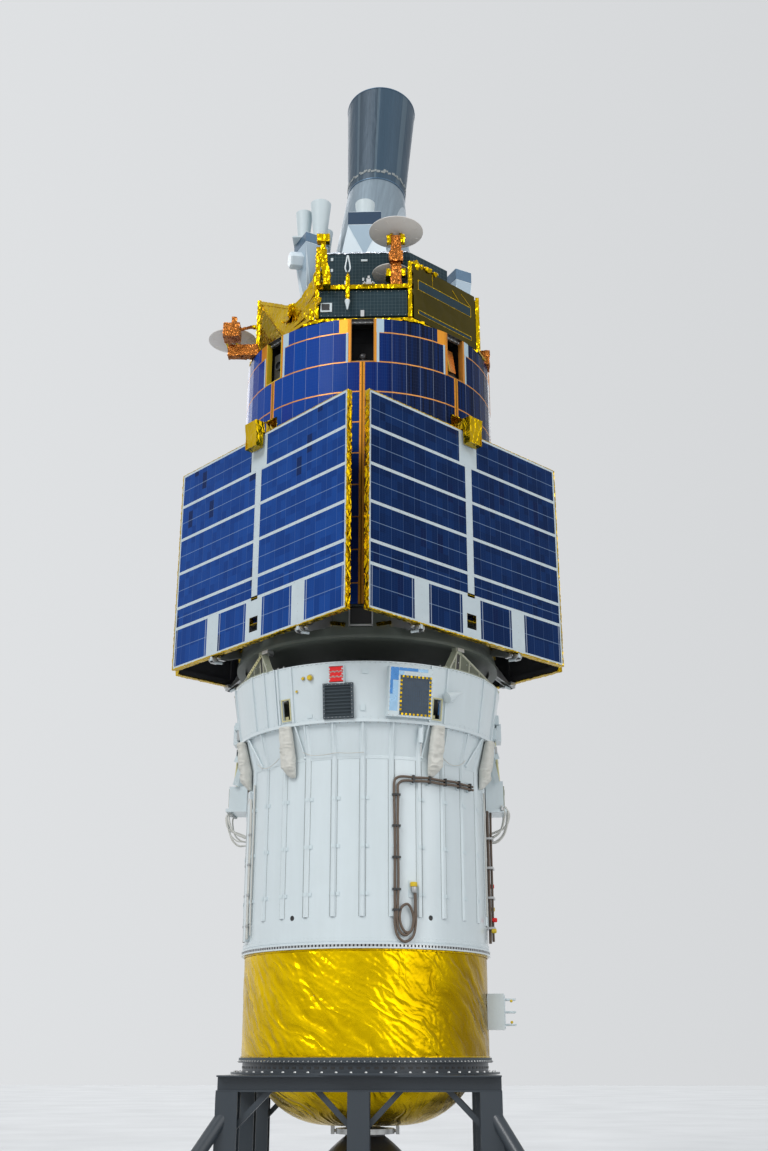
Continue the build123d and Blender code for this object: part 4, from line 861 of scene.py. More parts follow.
def makeGoldBand():
    band = {"around": 900, "up": 92, "wrinkle": 0.0125, "seam": 2.05, "slant": 0.55, "steep": 0.95}
    turn = np.linspace(0, 2 * math.pi, band["around"], endpoint=False)
    z = np.linspace(stack["bandLow"] + 0.004, stack["bandHigh"] - 0.002, band["up"])
    angle, height = np.meshgrid(turn, z)
    # wrinkles run down to the right: noise squeezed across a slanted direction, folded into ridges;
    # the noise is read on a helix-like pair of coordinates that meet again after one turn
    flat = np.stack((np.cos(angle), np.sin(angle), height), -1).reshape(-1, 3)
    bend = 0.10 * crumple(flat, 0.42, 5.7).reshape(angle.shape)
    lean = angle + height * band["slant"] + bend
    spot = np.stack((np.cos(lean), np.sin(lean), height * 0.16), -1).reshape(-1, 3)
    coarse = 1 - 2.4 * np.abs(crumple(spot, 0.085))
    steep = angle + height * band["steep"] + 1.5 * bend
    spot = np.stack((np.cos(steep), np.sin(steep), height * 0.34), -1).reshape(-1, 3)
    middle = 1 - 2.6 * np.abs(crumple(spot, 0.043, 4.2))
    fine = 1 - 3 * np.abs(crumple(flat, 0.030, 8.8))
    patch = 0.55 + 0.45 * crumple(flat, 0.45, 2.9)
    relief = (0.55 * coarse + 0.32 * middle + 0.13 * fine) * patch
    relief = relief.reshape(height.shape)
    hem = np.minimum((height - z[0]) / 0.035, (z[-1] - height) / 0.035).clip(0.12, 1)
    step = 0.0022 * (height < band["seam"]) + 0.0015 * np.exp(-(((height - band["seam"]) / 0.006) ** 2))
    radius = stack["bandRadius"] - 0.004 + band["wrinkle"] * relief * hem + step
    points = np.stack((radius * np.sin(angle), -radius * np.cos(angle), height), -1).reshape(-1, 3)
    shape = (points, [gridFaces(band["up"], band["around"], closed=True)])
    blanket = makePiece("skirt_gold_blanket", [shape], "goldBand", sharp=None, replaced=("skirt_blanket",))
    inner = stack["bandRadius"] + 0.0015
    trims = [hoop(inner, inner + 0.006, 1.6215, 1.636), hoop(inner, inner + 0.0055, 2.562, 2.579)]
    makePiece("skirt_edge_tapes", trims, "gold", sharp=40)


def makeRingFasteners():
    # reach and height of each ring, then its heads' radius and height, or its boxes' width, height, depth
    bolts = {"count": 150, "place": (1.262, 1.588), "head": (0.0085, 0.009)}
    standBolts = {"count": 60, "place": (1.299, 1.4895), "head": (0.014, 0.012)}
    slots = {"count": 96, "place": (1.532, 1.219), "size": (0.042, 0.020, 0.006)}
    teeth = {"count": 216, "place": (2.605, 1.2535), "size": (0.021, 0.0215, 0.0145)}
    rows = [wallHeads(evenly(bolts["count"]), *bolts["place"], *bolts["head"])]
    spots = polar(evenly(standBolts["count"], 3.0), *standBolts["place"])
    rows.append(buttons(spots, (0, 0, 1), *standBolts["head"], 6))
    makePiece("ring_bolts", rows, "metal")
    # dark cover over the skirt's lower rim, between the blanket and the stand's ring
    cover = {"outer": 1.2585, "inner": 1.2365, "low": 1.6005, "high": 1.6212, "wall": 0.0022, "roof": 0.001}
    step = cover["outer"] - cover["wall"]
    under = cover["high"] - cover["roof"]
    rim = [
        (step, cover["low"]), (cover["outer"], cover["low"]), (cover["outer"], cover["high"]),
        (cover["inner"], cover["high"]), (cover["inner"], under), (step, under),
    ]
    makePiece("ring_cover", [lathe(rim)], "slate")
    makePiece("ring_slots", [wallBoxes(evenly(slots["count"]), *slots["place"], *slots["size"])], "black")
    makePiece("flange_teeth", [wallBoxes(evenly(teeth["count"]), *teeth["place"], *teeth["size"])], "metal")
    # black band in the flange's groove: painted shade in the recess between its lips
    makePiece("flange_groove_shade", [hoop(skin + 0.0005, skin + 0.0025, 2.594, 2.616)], "black", sharp=None)


# Booster, white interstage

def flareRadius(z):
    # the skin's radius on the flare
    share = (z - stack["flareLow"]) / (stack["flareHigh"] - stack["flareLow"])
    return skin + share * (stack["flareTopRadius"] - skin)


def makeInterstageDetail():
    ribs = {
        "count": 28, "start": 1.0, "low": 2.87, "high": 4.40, "crown": 0.018, "foot": 0.0325, "rivets": 0.040,
        "clips": (3.08, 3.53, 3.99), "clipBeside": 0.046,
    }
    azimuth = evenly(ribs["count"], ribs["start"])
    spread, level = (grid.ravel() for grid in np.meshgrid(azimuth, np.arange(2.90, 4.40, 0.055)))
    rivets = []
    for side in (-1, 1):
        place = spread + side * math.degrees(ribs["rivets"] / skin)
        rivets.append(wallHeads(place, skin - 0.0005, level, 0.0042, 0.003, 5))
    makePiece("rib_rivets", rivets, "white", sharp=40)
    # each rib is a hat: a broad foot that slopes up to a narrow crown, on the skin and up the flare
    hat = ((-0.031, -0.001), (-0.015, 0.0195), (0.015, 0.0195), (0.031, -0.001))
    hats = []
    walls = gridFaces(3, 4, closed=True)[:, ::-1]
    for turn in azimuth:
        right, out = axesAt(turn)
        points = []
        for radius, z in ((skin, ribs["low"]), (skin, 4.408), (1.3285, 4.716)):
            points += [right * across + out * (radius + rise) + upright * z for across, rise in hat]
        hats.append((np.array(points), [walls, np.array([[0, 1, 2, 3]]), np.array([[11, 10, 9, 8]])]))
    makePiece("rib_hats", hats, "white", sharp=20)
    # grey lines along both feet of each rib: partly sealant, partly painted shade where the rib meets the
    # skin
    seams = []
    for side in (-1, 1):
        place = azimuth + side * math.degrees(ribs["foot"] / skin)
        middle, height = (ribs["low"] + ribs["high"]) / 2, ribs["high"] - ribs["low"]
        seams.append(wallBoxes(place, middle, skin - 0.001, 0.0042, height, 0.0022))
    makePiece("rib_seam_shade_lines", seams, "seamGrey")
    spread, level = (grid.ravel() for grid in np.meshgrid(azimuth, ribs["clips"]))
    clips = [wallBoxes(spread, level, skin + ribs["crown"], 0.036, 0.034, 0.006)]
    beside = spread + math.degrees(ribs["clipBeside"] / skin)
    clips.append(wallBoxes(beside, level, skin - 0.001, 0.028, 0.034, 0.010))
    makePiece("rib_clips", clips, "whiteMatte")
    # splice bands at the foot and head of the skin, with their rivets
    splice = {"rows": ((2.665, 0.022), (4.392, 0.016)), "inner": 0.002, "outer": 0.0035, "rivets": 180}
    bands, rivets = [], []
    for z, half in splice["rows"]:
        bands.append(hoop(skin - splice["inner"], skin + splice["outer"], z - half, z + half))
        for start, lift in ((0.0, -half * 0.5), (1.0, half * 0.5)):
            reach = skin + splice["outer"] - 0.0005
            rivets.append(wallHeads(evenly(splice["rivets"], start), reach, z + lift, 0.0045, 0.003, 5))
    makePiece("splice_bands", bands, "white")
    makePiece("splice_rivets", rivets, "white", sharp=40)
    plugs = []
    for turn in (-31.7, 32.3, 148.0, 212.0):
        outline = [(0.0245, 0), (0.0245, 0.004), (0.016, 0.006), (0.004, 0.002)]
        plugs.append(turned(outline, polar(turn, 1.243, 2.87), axesAt(turn)[1]))
    makePiece("access_plugs", plugs, "black", sharp=40)
    # flare: rivets along each rib's foot, bolts round the ring above it
    flare = {"rivets": 7, "beside": 0.040, "middle": 1.29, "bolts": (-3.4, 0.0, 3.4)}
    heights = stack["flareLow"] + 0.31 * np.linspace(0.06, 0.94, flare["rivets"])
    spread, level = (grid.ravel() for grid in np.meshgrid(azimuth, heights))
    rivets = []
    for side in (-1, 1):
        place = spread + side * math.degrees(flare["beside"] / flare["middle"])
        rivets.append(wallHeads(place, flareRadius(level), level, 0.0045, 0.004, 5))
    makePiece("flare_rivets", rivets, "white", sharp=40)
    bolts = []
    for shift in flare["bolts"]:
        place = azimuth + 180 / ribs["count"] + shift
        bolts.append(buttons(polar(place, 1.349, 4.7205), (0, 0, -1), 0.008, 0.009, 6))
        bolts.append(buttons(polar(place, 1.3665, 4.7495), (0, 0, 1), 0.007, 0.006, 6))
    makePiece("flare_ring_bolts", bolts, "metal")


def wallRoute(rows, reach, count):
    # rows of (azimuth, height) on the skin, smoothed, with outward directions
    line = throughPoints(rows, count)
    return polar(line[:, 0], skin + reach, line[:, 1]), axesAt(line[:, 0])[1]


def makeCables(name, cables, look, sides=10, replaced=()):
    # cables are (path, radius, reference direction)
    shapes = [tube(path, radius, reference, sides) for path, radius, reference in cables]
    maps = np.concatenate([tubeMap(path, sides) for path, _, _ in cables])
    makePiece(name, shapes, look, sharp=None, replaced=replaced, around=maps)


def makeHarness():
    # two braided cables side by side in saddle clamps; the right one turns a full loop before its connector
    harness = {
        "radius": 0.0125, "gap": 0.034, "reach": 0.033, "down": 14.9, "connector": 23.3,
        "besideTop": ((57.0, 4.19), (48.5, 4.188), (40.0, 4.186), (31.5, 4.187), (23.5, 4.184)),
        "besideDrop": (4.02, 3.72, 3.42, 3.12, 2.93),
    }
    down = harness["down"]
    gap = math.degrees(harness["gap"] / skin)
    upper = [
        (59.5, 4.205), (52.0, 4.200), (45.0, 4.207), (38.0, 4.199), (31.0, 4.206), (24.5, 4.200),
        (19.0, 4.203), (16.2, 4.190), (down, 4.150), (down - 0.2, 4.05), (down, 3.80), (down + 0.15, 3.50),
        (down, 3.20), (down + 0.1, 2.95), (down, 2.80), (down + 1.2, 2.69), (down + 4.3, 2.640),
        (down + 7.8, 2.685), (down + 9.2, 2.80), (down + 9.25, 2.95), (down + 9.2, 3.09),
    ]
    inner = down + gap * 0.93
    lower = [
        (59.5, 4.172), (52.0, 4.166), (45.0, 4.172), (38.0, 4.164), (31.0, 4.171), (24.5, 4.165),
        (20.0, 4.163), (17.6, 4.148), (inner, 4.105), (inner + 0.1, 4.00), (inner - 0.1, 3.80),
        (inner, 3.50), (inner + 0.1, 3.20), (inner - 0.2, 2.98), (inner - 0.6, 2.86), (inner + 0.4, 2.74),
        (inner + 3.2, 2.70), (inner + 6.0, 2.76), (inner + 6.6, 2.88), (inner + 4.4, 2.98),
        (inner + 1.4, 2.95), (inner + 0.6, 2.84), (inner + 2.6, 2.735), (inner + 5.6, 2.74),
        (inner + 7.2, 2.86), (inner + 7.5, 2.98), (inner + 7.4, 3.09),
    ]
    cables = []
    for rows, lift in ((upper, 0.0), (lower, 0.004)):
        path, out = wallRoute(rows, harness["reach"] + lift, 420)
        cables.append((path, harness["radius"], out))
    makeCables("front_harness_cables", cables, "braid", replaced=("front_harness",))
    clamps, pads = [], []
    drop = [(down + gap / 2, z) for z in harness["besideDrop"]]
    for places, clamp, pad in (
        (harness["besideTop"], (0.020, 0.075, 0.032), (0.030, 0.100, 0.021)),
        (drop, (0.080, 0.020, 0.032), (0.100, 0.030, 0.021)),
    ):
        for azimuth, z in places:
            clamps.append(wallBoxes(azimuth, z, skin + 0.018, *clamp))
            pads.append(wallBoxes(azimuth, z, skin - 0.001, *pad))
    makePiece("harness_clamps", clamps, "black")
    makePiece("harness_pads", pads, "whiteMatte")
    centre = polar(harness["connector"], skin + 0.035, 3.085)
    body = [(0.012, 0), (0.027, 0.010), (0.030, 0.016), (0.030, 0.060), (0.024, 0.066)]
    cap = [(0.033, 0), (0.034, 0.004), (0.034, 0.036), (0.028, 0.042)]
    makePiece("harness_connector", [turned(body, centre, upright)], "metal")
    makePiece("harness_cap", [turned(cap, centre + upright * 0.064, upright)], "yellow")
    plate = [wallBoxes(harness["connector"], 3.13, skin - 0.001, 0.075, 0.16, 0.012)]
    makePiece("connector_plate", plate, "whiteMatte")


def makeSideCables():
    # clamped lines on both flanks of the booster: radius, reach and the route of each
    lines = {
        "braid": [
            (0.010, 0.024, [(-70.6, 2.70), (-70.3, 3.1), (-70.7, 3.6), (-70.4, 4.05), (-72.0, 4.30)]),
            (
                0.015, 0.032,
                [(80.6, 2.70), (80.9, 2.95), (80.3, 3.3), (80.9, 3.62), (80.2, 3.90), (82.0, 4.04)],
            ),
            (0.013, 0.060, [(82.4, 2.72), (81.9, 3.0), (82.6, 3.3), (82.2, 3.6), (82.9, 3.9), (84.5, 4.04)]),
            (
                0.012, 0.030,
                [(84.2, 2.74), (84.8, 3.0), (84.1, 3.32), (84.6, 3.62), (84.2, 3.9), (86.6, 4.04)],
            ),
        ],
        "braidWhite": [
            (
                0.013, 0.030,
                [(-64.3, 2.72), (-64.6, 3.1), (-64.2, 3.6), (-64.6, 4.02), (-66.2, 4.12), (-68.5, 4.08)],
            ),
            (0.007, 0.020, [(-61.6, 2.75), (-61.8, 3.3), (-61.5, 3.9), (-61.9, 4.25)]),
            (0.009, 0.026, [(75.4, 2.95), (75.0, 3.3), (75.5, 3.7), (75.1, 4.1), (74.2, 4.20)]),
        ],
    }
    for look, rows in lines.items():
        cables = []
        for radius, reach, route in rows:
            path, out = wallRoute(route, reach, 160)
            cables.append((path, radius, out))
        replaced = ("side_harness",) if look == "braid" else ()
        makeCables("side_lines_" + look, cables, look, replaced=replaced)
    # azimuth, width, height and depth of each column of straps
    strap = {"levels": (2.85, 3.15, 3.45, 3.75), "rows": (
        (82.5, 0.160, 0.022, 0.084), (-64.4, 0.050, 0.020, 0.050), (-70.5, 0.042, 0.020, 0.042),
    )}
    straps = []
    for z in strap["levels"]:
        straps += [wallBoxes(azimuth, z, skin - 0.002, *size) for azimuth, *size in strap["rows"]]
    makePiece("side_line_straps", straps, "metal")
    caps = {
        "yellow": [(79.0, 2.82, 0.085), (86.6, 3.05, 0.06)],
        "red": [(80.4, 2.93, 0.09), (86.0, 3.28, 0.06)],
    }
    outline = [(0.020, 0), (0.022, 0.006), (0.022, 0.040), (0.016, 0.046)]
    for look, rows in caps.items():
        shapes = [turned(outline, polar(a, skin + reach - 0.03, z), axesAt(a)[1], 16) for a, z, reach in rows]
        makePiece("line_caps_" + look, shapes, look)


def makeSideGear():
    # lines, fittings and lids on the stacked boxes of both flanks
    side = {
        "middles": (-91.0, 89.0),
        # start, drop and reach of each hanging line
        "lines": (
            (-6.5, 0.30, 0.20), (-4.2, 0.36, 0.23), (-1.5, 0.24, 0.24), (1.6, 0.33, 0.22), (4.6, 0.28, 0.19),
        ),
        # shift, height and reach, half sizes, look of each block under the ring
        "blocks": (
            (-7.4, 4.655, 0.125, 0.060, 0.050, 0.045, "whites"),
            (-3.2, 4.700, 0.150, 0.045, 0.035, 0.040, "steels"),
            (6.9, 4.650, 0.120, 0.055, 0.055, 0.045, "whites"),
            (3.4, 4.705, 0.150, 0.040, 0.032, 0.045, "darks"),
            (-6.6, 4.860, 0.150, 0.050, 0.060, 0.030, "whites"),
            (6.2, 4.880, 0.150, 0.045, 0.050, 0.030, "steels"),
            (0.0, 4.640, 0.110, 0.050, 0.030, 0.060, "darks"),
            (-5.6, 5.020, 0.180, 0.035, 0.045, 0.025, "whites"),
            (5.2, 4.985, 0.175, 0.030, 0.040, 0.025, "whites"),
            (0.5, 4.355, 0.120, 0.085, 0.010, 0.050, "darks"),
        ),
        # shift, foot and head of each slanted plate
        "plates": ((-8.4, 4.335, 4.60), (-5.0, 4.60, 4.80), (5.0, 4.60, 4.80), (8.2, 4.335, 4.58)),
    }
    loops, fittings, lids, arms, plates = [], [], [], [], []
    blocks = {"whites": [], "steels": [], "darks": []}
    fitting = [(0.016, -0.022), (0.019, -0.018), (0.019, 0.014), (0.012, 0.020)]
    for mid in side["middles"]:
        right, out = axesAt(mid)
        for i, (start, drop, reach) in enumerate(side["lines"]):
            a = mid + start
            rows = [
                (a, 4.10, reach - 0.02), (a + 0.3, 4.02, reach + 0.015),
                (a + 1.2, 4.05 - drop * 0.6, reach * 0.9), (a + 2.0, 4.10 - drop, reach * 0.55),
                (a + 2.6, 4.02 - drop * 0.8, 0.05), (a + 2.6, 3.92 - drop * 0.5, 0.022),
            ]
            line = throughPoints(rows, 60)
            loops.append((polar(line[:, 0], skin + line[:, 2], line[:, 1]), 0.008 + 0.002 * (i % 3), right))
            fittings.append(turned(fitting, polar(a, skin + 0.185, 4.062), (0, 0, -1), 12))
        face = polar(mid, skin + 0.197, 4.21)
        lids.append(boxes(face + out * 0.004, right * 0.142, upright * 0.098, out * 0.006))
        lids.append(boxes(face + out * 0.011 + upright * 0.05, right * 0.05, upright * 0.026, out * 0.006))
        lids.append(boxes(polar(mid, skin + 0.129, 4.48), right * 0.088, upright * 0.10, out * 0.004))
        for shift in (-1, 1):
            low = polar(mid + shift * 3.6, skin + 0.16, 4.36)
            high = polar(mid + shift * 2.6, skin + 0.125, 4.79)
            arms.append(tube(np.linspace(low, high, 6), 0.013, right, 8))
        for shift, z, reach, width, height, depth, kind in side["blocks"]:
            across, ahead = axesAt(mid + shift)
            spot = polar(mid + shift, skin + reach - depth, z)
            blocks[kind].append(boxes(spot, across * width, upright * height, ahead * depth))
        for shift, low, high in side["plates"]:
            start = polar(mid + shift, skin + 0.150, low)
            stop = polar(mid + shift * 0.55, skin + 0.095, high)
            across, _ = axesAt(mid + shift)
            slope = stop - start
            wide = unit(np.cross(across, slope)) * 0.026
            plates.append(boxes((start + stop) / 2, across * 0.006, slope / 2, wide))
    makePiece("side_blocks", blocks["whites"], "whiteMatte")
    makePiece("side_machined_blocks", blocks["steels"], "metal")
    makePiece("side_dark_blocks", blocks["darks"], "slate")
    makePiece("side_plates", plates, "white")
    makeCables("side_loops", loops, "braidWhite", 8)
    makePiece("side_fittings", fittings, "metal")
    makePiece("side_lids", lids, "primer")
    makePiece("side_arms", arms, "paleYellow", sharp=40)


def makeCoverBags():
    # white cloth pouches under the flare's ring: a bulged section that narrows to a slanted foot
    bag = {"around": 72, "up": 84, "top": 4.716, "low": 4.222, "half": 0.074, "depth": 0.118}
    bags, straps = [], []
    for azimuth, lean in ((-70.0, 1), (-33.6, 1), (33.8, -1), (71.5, -1)):
        turn = np.linspace(0, 2 * math.pi, bag["around"], endpoint=False)
        angle, v = np.meshgrid(turn, np.linspace(0, 1, bag["up"]))
        z = bag["low"] + (bag["top"] - bag["low"]) * v
        # the foot is cut on the slant and drawn in; the head is square under the ring
        taper = (0.30 + 0.70 * np.clip(v / 0.20, 0, 1) ** 0.7) * (1 - 0.10 * np.clip((v - 0.75) / 0.25, 0, 1))
        belly = 0.80 + 0.20 * np.sin(math.pi * np.clip(v * 1.15, 0, 1))
        cosine, sine = np.cos(angle), np.sin(angle)
        across = bag["half"] * taper * np.sign(cosine) * np.abs(cosine) ** 0.72
        across = across + lean * 0.030 * np.clip(1 - v / 0.22, 0, 1)
        swell = bag["depth"] * taper * belly * (0.5 + 0.5 * np.sign(sine) * np.abs(sine) ** 0.8)
        wall = np.where(z < stack["flareLow"], skin, flareRadius(z))
        reach = wall + 0.006 + swell
        # sags and tucks: folded noise stretched sideways, stronger on the front
        spot = np.stack((across + azimuth, z, reach), -1).reshape(-1, 3)
        tuck = 1 - 2.2 * np.abs(crumple(spot * (1.0, 1.7, 1.0), 0.055))
        dimple = crumple(spot * (1.6, 0.8, 1.0), 0.03, 6.1)
        front = np.clip(swell / bag["depth"], 0, 1).ravel()
        reach = reach + ((0.009 * tuck + 0.004 * dimple) * front).reshape(reach.shape)
        across = across * (1 + (0.05 * tuck).reshape(reach.shape))
        right, out = axesAt(azimuth)
        points = across[..., None] * right + reach[..., None] * out + z[..., None] * upright
        points = points.reshape(-1, 3)
        foot = np.arange(bag["around"])[None]
        head = foot[:, ::-1] + (bag["up"] - 1) * bag["around"]
        walls = gridFaces(bag["up"], bag["around"], closed=True)[:, ::-1]
        bags.append((points, [walls, foot, head]))
        for shift in (-0.045, 0.045):
            low = right * shift + out * 1.375 + upright * 4.66
            high = right * shift + out * 1.362 + upright * 4.735
            straps.append(boxes((low + high) / 2, right * 0.011, (high - low) / 2, out * 0.0025))
        hem = points.reshape(bag["up"], bag["around"], 3)[int(bag["up"] * 0.93)]
        hem = np.concatenate((hem, hem[:1]))
        hem = hem.mean(axis=0) + (hem - hem.mean(axis=0)) * 1.02
        straps.append(tube(hem, 0.0035, (0, 0, 1), 6))
    piece = makePiece("cover_bag_cloth", bags, "cloth", sharp=None, replaced=("cover_bags",))
    makePiece("cover_bag_straps", straps, "cloth", sharp=40)


makeGoldBand()
makeRingFasteners()
makeInterstageDetail()
makeHarness()
makeSideCables()
makeSideGear()
makeCoverBags()
print("booster pieces made")


# Equipment section: fittings on its coned wall

def wallFrame(azimuth, z):
    # point on the coned wall with its right, up and outward directions
    share = (z - stack["wallLow"]) / (stack["wallHigh"] - stack["wallLow"])
    radius = stack["wallLowRadius"] + share * (stack["wallHighRadius"] - stack["wallLowRadius"])
    slope = math.atan2(stack["wallHighRadius"] - stack["wallLowRadius"], stack["wallHigh"] - stack["wallLow"])
    right, level = axesAt(azimuth)
    up = level * math.sin(slope) + upright * math.cos(slope)
    return polar(azimuth, radius, z), right, up, np.cross(right, up)


class WallPanel:
    # places small shapes by their distance across, up and out from a point on the wall
    def __init__(self, azimuth, z, lift=0.0):
        self.origin, self.right, self.up, self.out = wallFrame(azimuth, z)
        self.origin = self.origin + self.out * lift

    def at(self, across, up, out=0.0):
        return self.origin + self.right * across + self.up * up + self.out * out

    def block(self, across, up, width, height, depth, out=0.0):
        centre = self.at(across, up, out + depth / 2)
        return boxes(centre, self.right * width / 2, self.up * height / 2, self.out * depth / 2)

    def border(self, width, height, bar, depth, out=0.0, across=0.0, up=0.0):
        # four bars round a rectangle
        beside, above = (width - bar) / 2, (height - bar) / 2
        sides = [(across, up + sign * above, width, bar) for sign in (1, -1)]
        sides += [(across + sign * beside, up, bar, height - 2 * bar) for sign in (-1, 1)]
        return [self.block(*side, depth, out) for side in sides]

    def heads(self, places, radius, height, out=0.0, sides=8):
        centres = np.array([self.at(across, up, out) for across, up in places])
        return buttons(centres, self.out, radius, height, sides)


def outlineSpots(width, height, step):
    # places along a rectangle's outline
    across = np.linspace(-width / 2, width / 2, max(2, round(width / step) + 1))
    up = np.linspace(-height / 2, height / 2, max(2, round(height / step) + 1))[1:-1]
    rows = [(a, side * height / 2) for a in across for side in (-1, 1)]
    return rows + [(side * width / 2, u) for u in up for side in (-1, 1)]


def makeSlotFrames():
    yellow, blue, dark = [], [], []
    for azimuth in (-33.0, 33.0, 147.0, 213.0):
        panel = WallPanel(azimuth, 4.89, 0.008)
        yellow += panel.border(0.118, 0.226, 0.013, 0.006)
        blue.append(panel.block(0.036, 0.02, 0.010, 0.14, 0.004, -0.028))
        dark.append(panel.heads(outlineSpots(0.108, 0.214, 0.035), 0.0035, 0.003, 0.005, 6))
        yellow.append(panel.block(-0.02, -0.075, 0.04, 0.03, 0.01, -0.040))
    makePiece("slot_frames", yellow, "paleYellow")
    makePiece("slot_tags", blue, "filmBlue")
    makePiece("slot_screws", dark, "metal")


def makeWallFittings():
    fittings = {
        # azimuth, height on the wall, radius and height of each cap
        "caps": ((-20.8, 5.18, 0.027, 0.042), (-24.0, 5.18, 0.016, 0.024), (-27.3, 5.06, 0.012, 0.02)),
        # azimuth, height on the wall, width, height, depth of each plate
        "plates": (
            (-21.8, 4.80, 0.055, 0.035, 0.008),
            (2.0, 5.22, 0.06, 0.05, 0.014),
            (1.0, 4.86, 0.045, 0.06, 0.012),
        ),
        "lids": (-100.0, -118.0, 92.0, 110.0, 135.0, 180.0, 232.0),
        "stiffeners": (-53, -44.5, -38.2, 60, 75, 105, 120, 160, 172, 188, 200, 225, 240, 255, 270, 285),
    }
    caps, pale, dark, screws = [], [], [], []
    for azimuth, z, radius, height in fittings["caps"]:
        panel = WallPanel(azimuth, z, -0.001)
        profile = [(radius, 0), (radius, height * 0.7), (radius * 0.7, height)]
        caps.append(turned(profile, panel.at(0, 0), panel.out, 20))
        seat = [(radius * 1.35, 0), (radius * 1.35, 0.005), (radius * 1.2, 0.008)]
        dark.append(turned(seat, panel.at(0, 0), panel.out, 20))
    for azimuth, z, *size in fittings["plates"]:
        pale.append(WallPanel(azimuth, z, -0.001).block(0, 0, *size))
    for azimuth in fittings["lids"]:
        panel = WallPanel(azimuth, 5.02, -0.001)
        pale.append(panel.block(0, 0, 0.17, 0.13, 0.012))
        screws.append(panel.heads(outlineSpots(0.15, 0.11, 0.05), 0.005, 0.004, 0.012, 6))
    # rows of screws beside each stiffener, and along the head and foot of the wall
    for azimuth in fittings["stiffeners"]:
        for side in (-1.1, 1.1):
            for z in np.arange(4.80, 5.29, 0.06):
                panel = WallPanel(azimuth + side, z, -0.0005)
                screws.append(panel.heads([(0, 0)], 0.0045, 0.003, 0.0, 6))
    screws.append(wallHeads(evenly(120), 1.4385, 5.295, 0.005, 0.006))
    screws.append(wallHeads(evenly(120, 1.5), 1.3625, 4.775, 0.005, 0.005))
    joint = lathe([(1.440, 5.3035), (1.4425, 5.3035), (1.4432, 5.309), (1.440, 5.309)])
    makePiece("wall_caps", caps, "yellow")
    makePiece("wall_cap_seats", dark, "metal")
    makePiece("wall_plates", pale, "whiteMatte")
    makePiece("wall_screws", screws, "white", sharp=40)
    makePiece("wall_joint", [joint], "black", sharp=None)


def makeRedCover():
    # three crumpled red bands held by white cords in a white frame
    cover = {
        "azimuth": -9.5, "z": 5.19, "bands": (-0.052, 0.0, 0.052), "cords": (-0.026, 0.026), "front": 0.031,
    }
    panel = WallPanel(cover["azimuth"], cover["z"])
    half = 0.070
    bands, cords = [], []
    for up in cover["bands"]:
        path = [panel.at(across, up, cover["front"] + 0.006) for across in np.linspace(-half, half, 16)]
        bands.append(foilBar(path, 0.044, 0.014, panel.out, 0.018, 0.0028, 0.008))
    for up in cover["cords"]:
        across = np.linspace(-half, half, 60)
        wave = up + 0.007 * np.sin(across * 150) + 0.003 * np.sin(across * 310 + up * 90)
        path = [panel.at(a, w, cover["front"] + 0.014) for a, w in zip(across, wave)]
        cords.append(tube(path, 0.0032, panel.out, 6))
    clips = panel.border(0.162, 0.182, 0.009, 0.036)
    for up in (0.0, 0.052, -0.052):
        for across in (-0.066, 0.066):
            clips.append(panel.block(across, up, 0.012, 0.016, 0.012, cover["front"] + 0.006))
    makePiece("red_bands", bands, "red", sharp=28, replaced=("red_cover",))
    makePiece("red_cover_cords", cords, "cloth", sharp=None)
    makePiece("red_cover_frame", clips, "whiteMatte")


def makeWallPanels():
    # the radiator's dark core lies off its panel's middle
    core = {"across": 0.050, "up": -0.033, "width": 0.284, "height": 0.352, "sunk": -0.0125, "line": 0.0022}

    def onCore(places):
        return [(core["across"] + a, core["up"] + u) for a, u in places]

    screws, gold, black, pale, blue = [], [], [], [], []
    louvre = WallPanel(-9.0, 4.93, 0.036)
    screws.append(louvre.heads(outlineSpots(0.282, 0.327, 0.040), 0.0045, 0.003))
    radiator = WallPanel(20.0, 5.02, 0.060)
    screws.append(radiator.heads(outlineSpots(0.440, 0.480, 0.045), 0.0055, 0.004))
    screws.append(radiator.heads(onCore(outlineSpots(0.330, 0.398, 0.06)), 0.004, 0.003))
    # dashed border of gold and black blocks round the dark centre
    for i, spot in enumerate(onCore(outlineSpots(0.306, 0.374, 0.021))):
        row = gold if (i // 2) % 2 else black
        row.append(radiator.block(*spot, 0.020, 0.020, 0.004, -0.0005))
    # strips of film, rows are across, up, width, height
    for row, depth, strips in (
        (
            blue, 0.0015,
            ((-0.175, 0.175, 0.085, 0.130), (-0.030, 0.224, 0.200, 0.032), (-0.205, 0.040, 0.030, 0.140)),
        ),
        (
            pale, 0.001,
            ((-0.175, -0.045, 0.085, 0.300), (0.125, 0.223, 0.100, 0.034), (-0.105, 0.185, 0.060, 0.040)),
        ),
    ):
        row += [radiator.block(*strip, depth, -0.0005) for strip in strips]
    makePiece("radiator_pale_film", pale, "filmPale")
    inner = radiator.block(core["across"], core["up"], core["width"], core["height"], 0.004, core["sunk"])
    lines = [
        radiator.block(*spot, core["line"], core["height"] - 0.007, 0.005, core["sunk"])
        for spot in onCore([(a, 0) for a in np.arange(-0.115, 0.12, 0.023)])
    ]
    lines += [
        radiator.block(*spot, core["width"] - 0.006, core["line"], 0.005, core["sunk"])
        for spot in onCore([(0, u) for u in np.arange(-0.150, 0.16, 0.05)])
    ]
    makePiece("radiator_core", [inner], "coreBlue")
    makePiece("radiator_core_lines", lines, "slate")
    makePiece("panel_screws", screws, "metal")
    makePiece("radiator_gold_blocks", gold, "gold")
    makePiece("radiator_dark_blocks", black, "slate")
    makePiece("radiator_film", blue, "filmBlue")


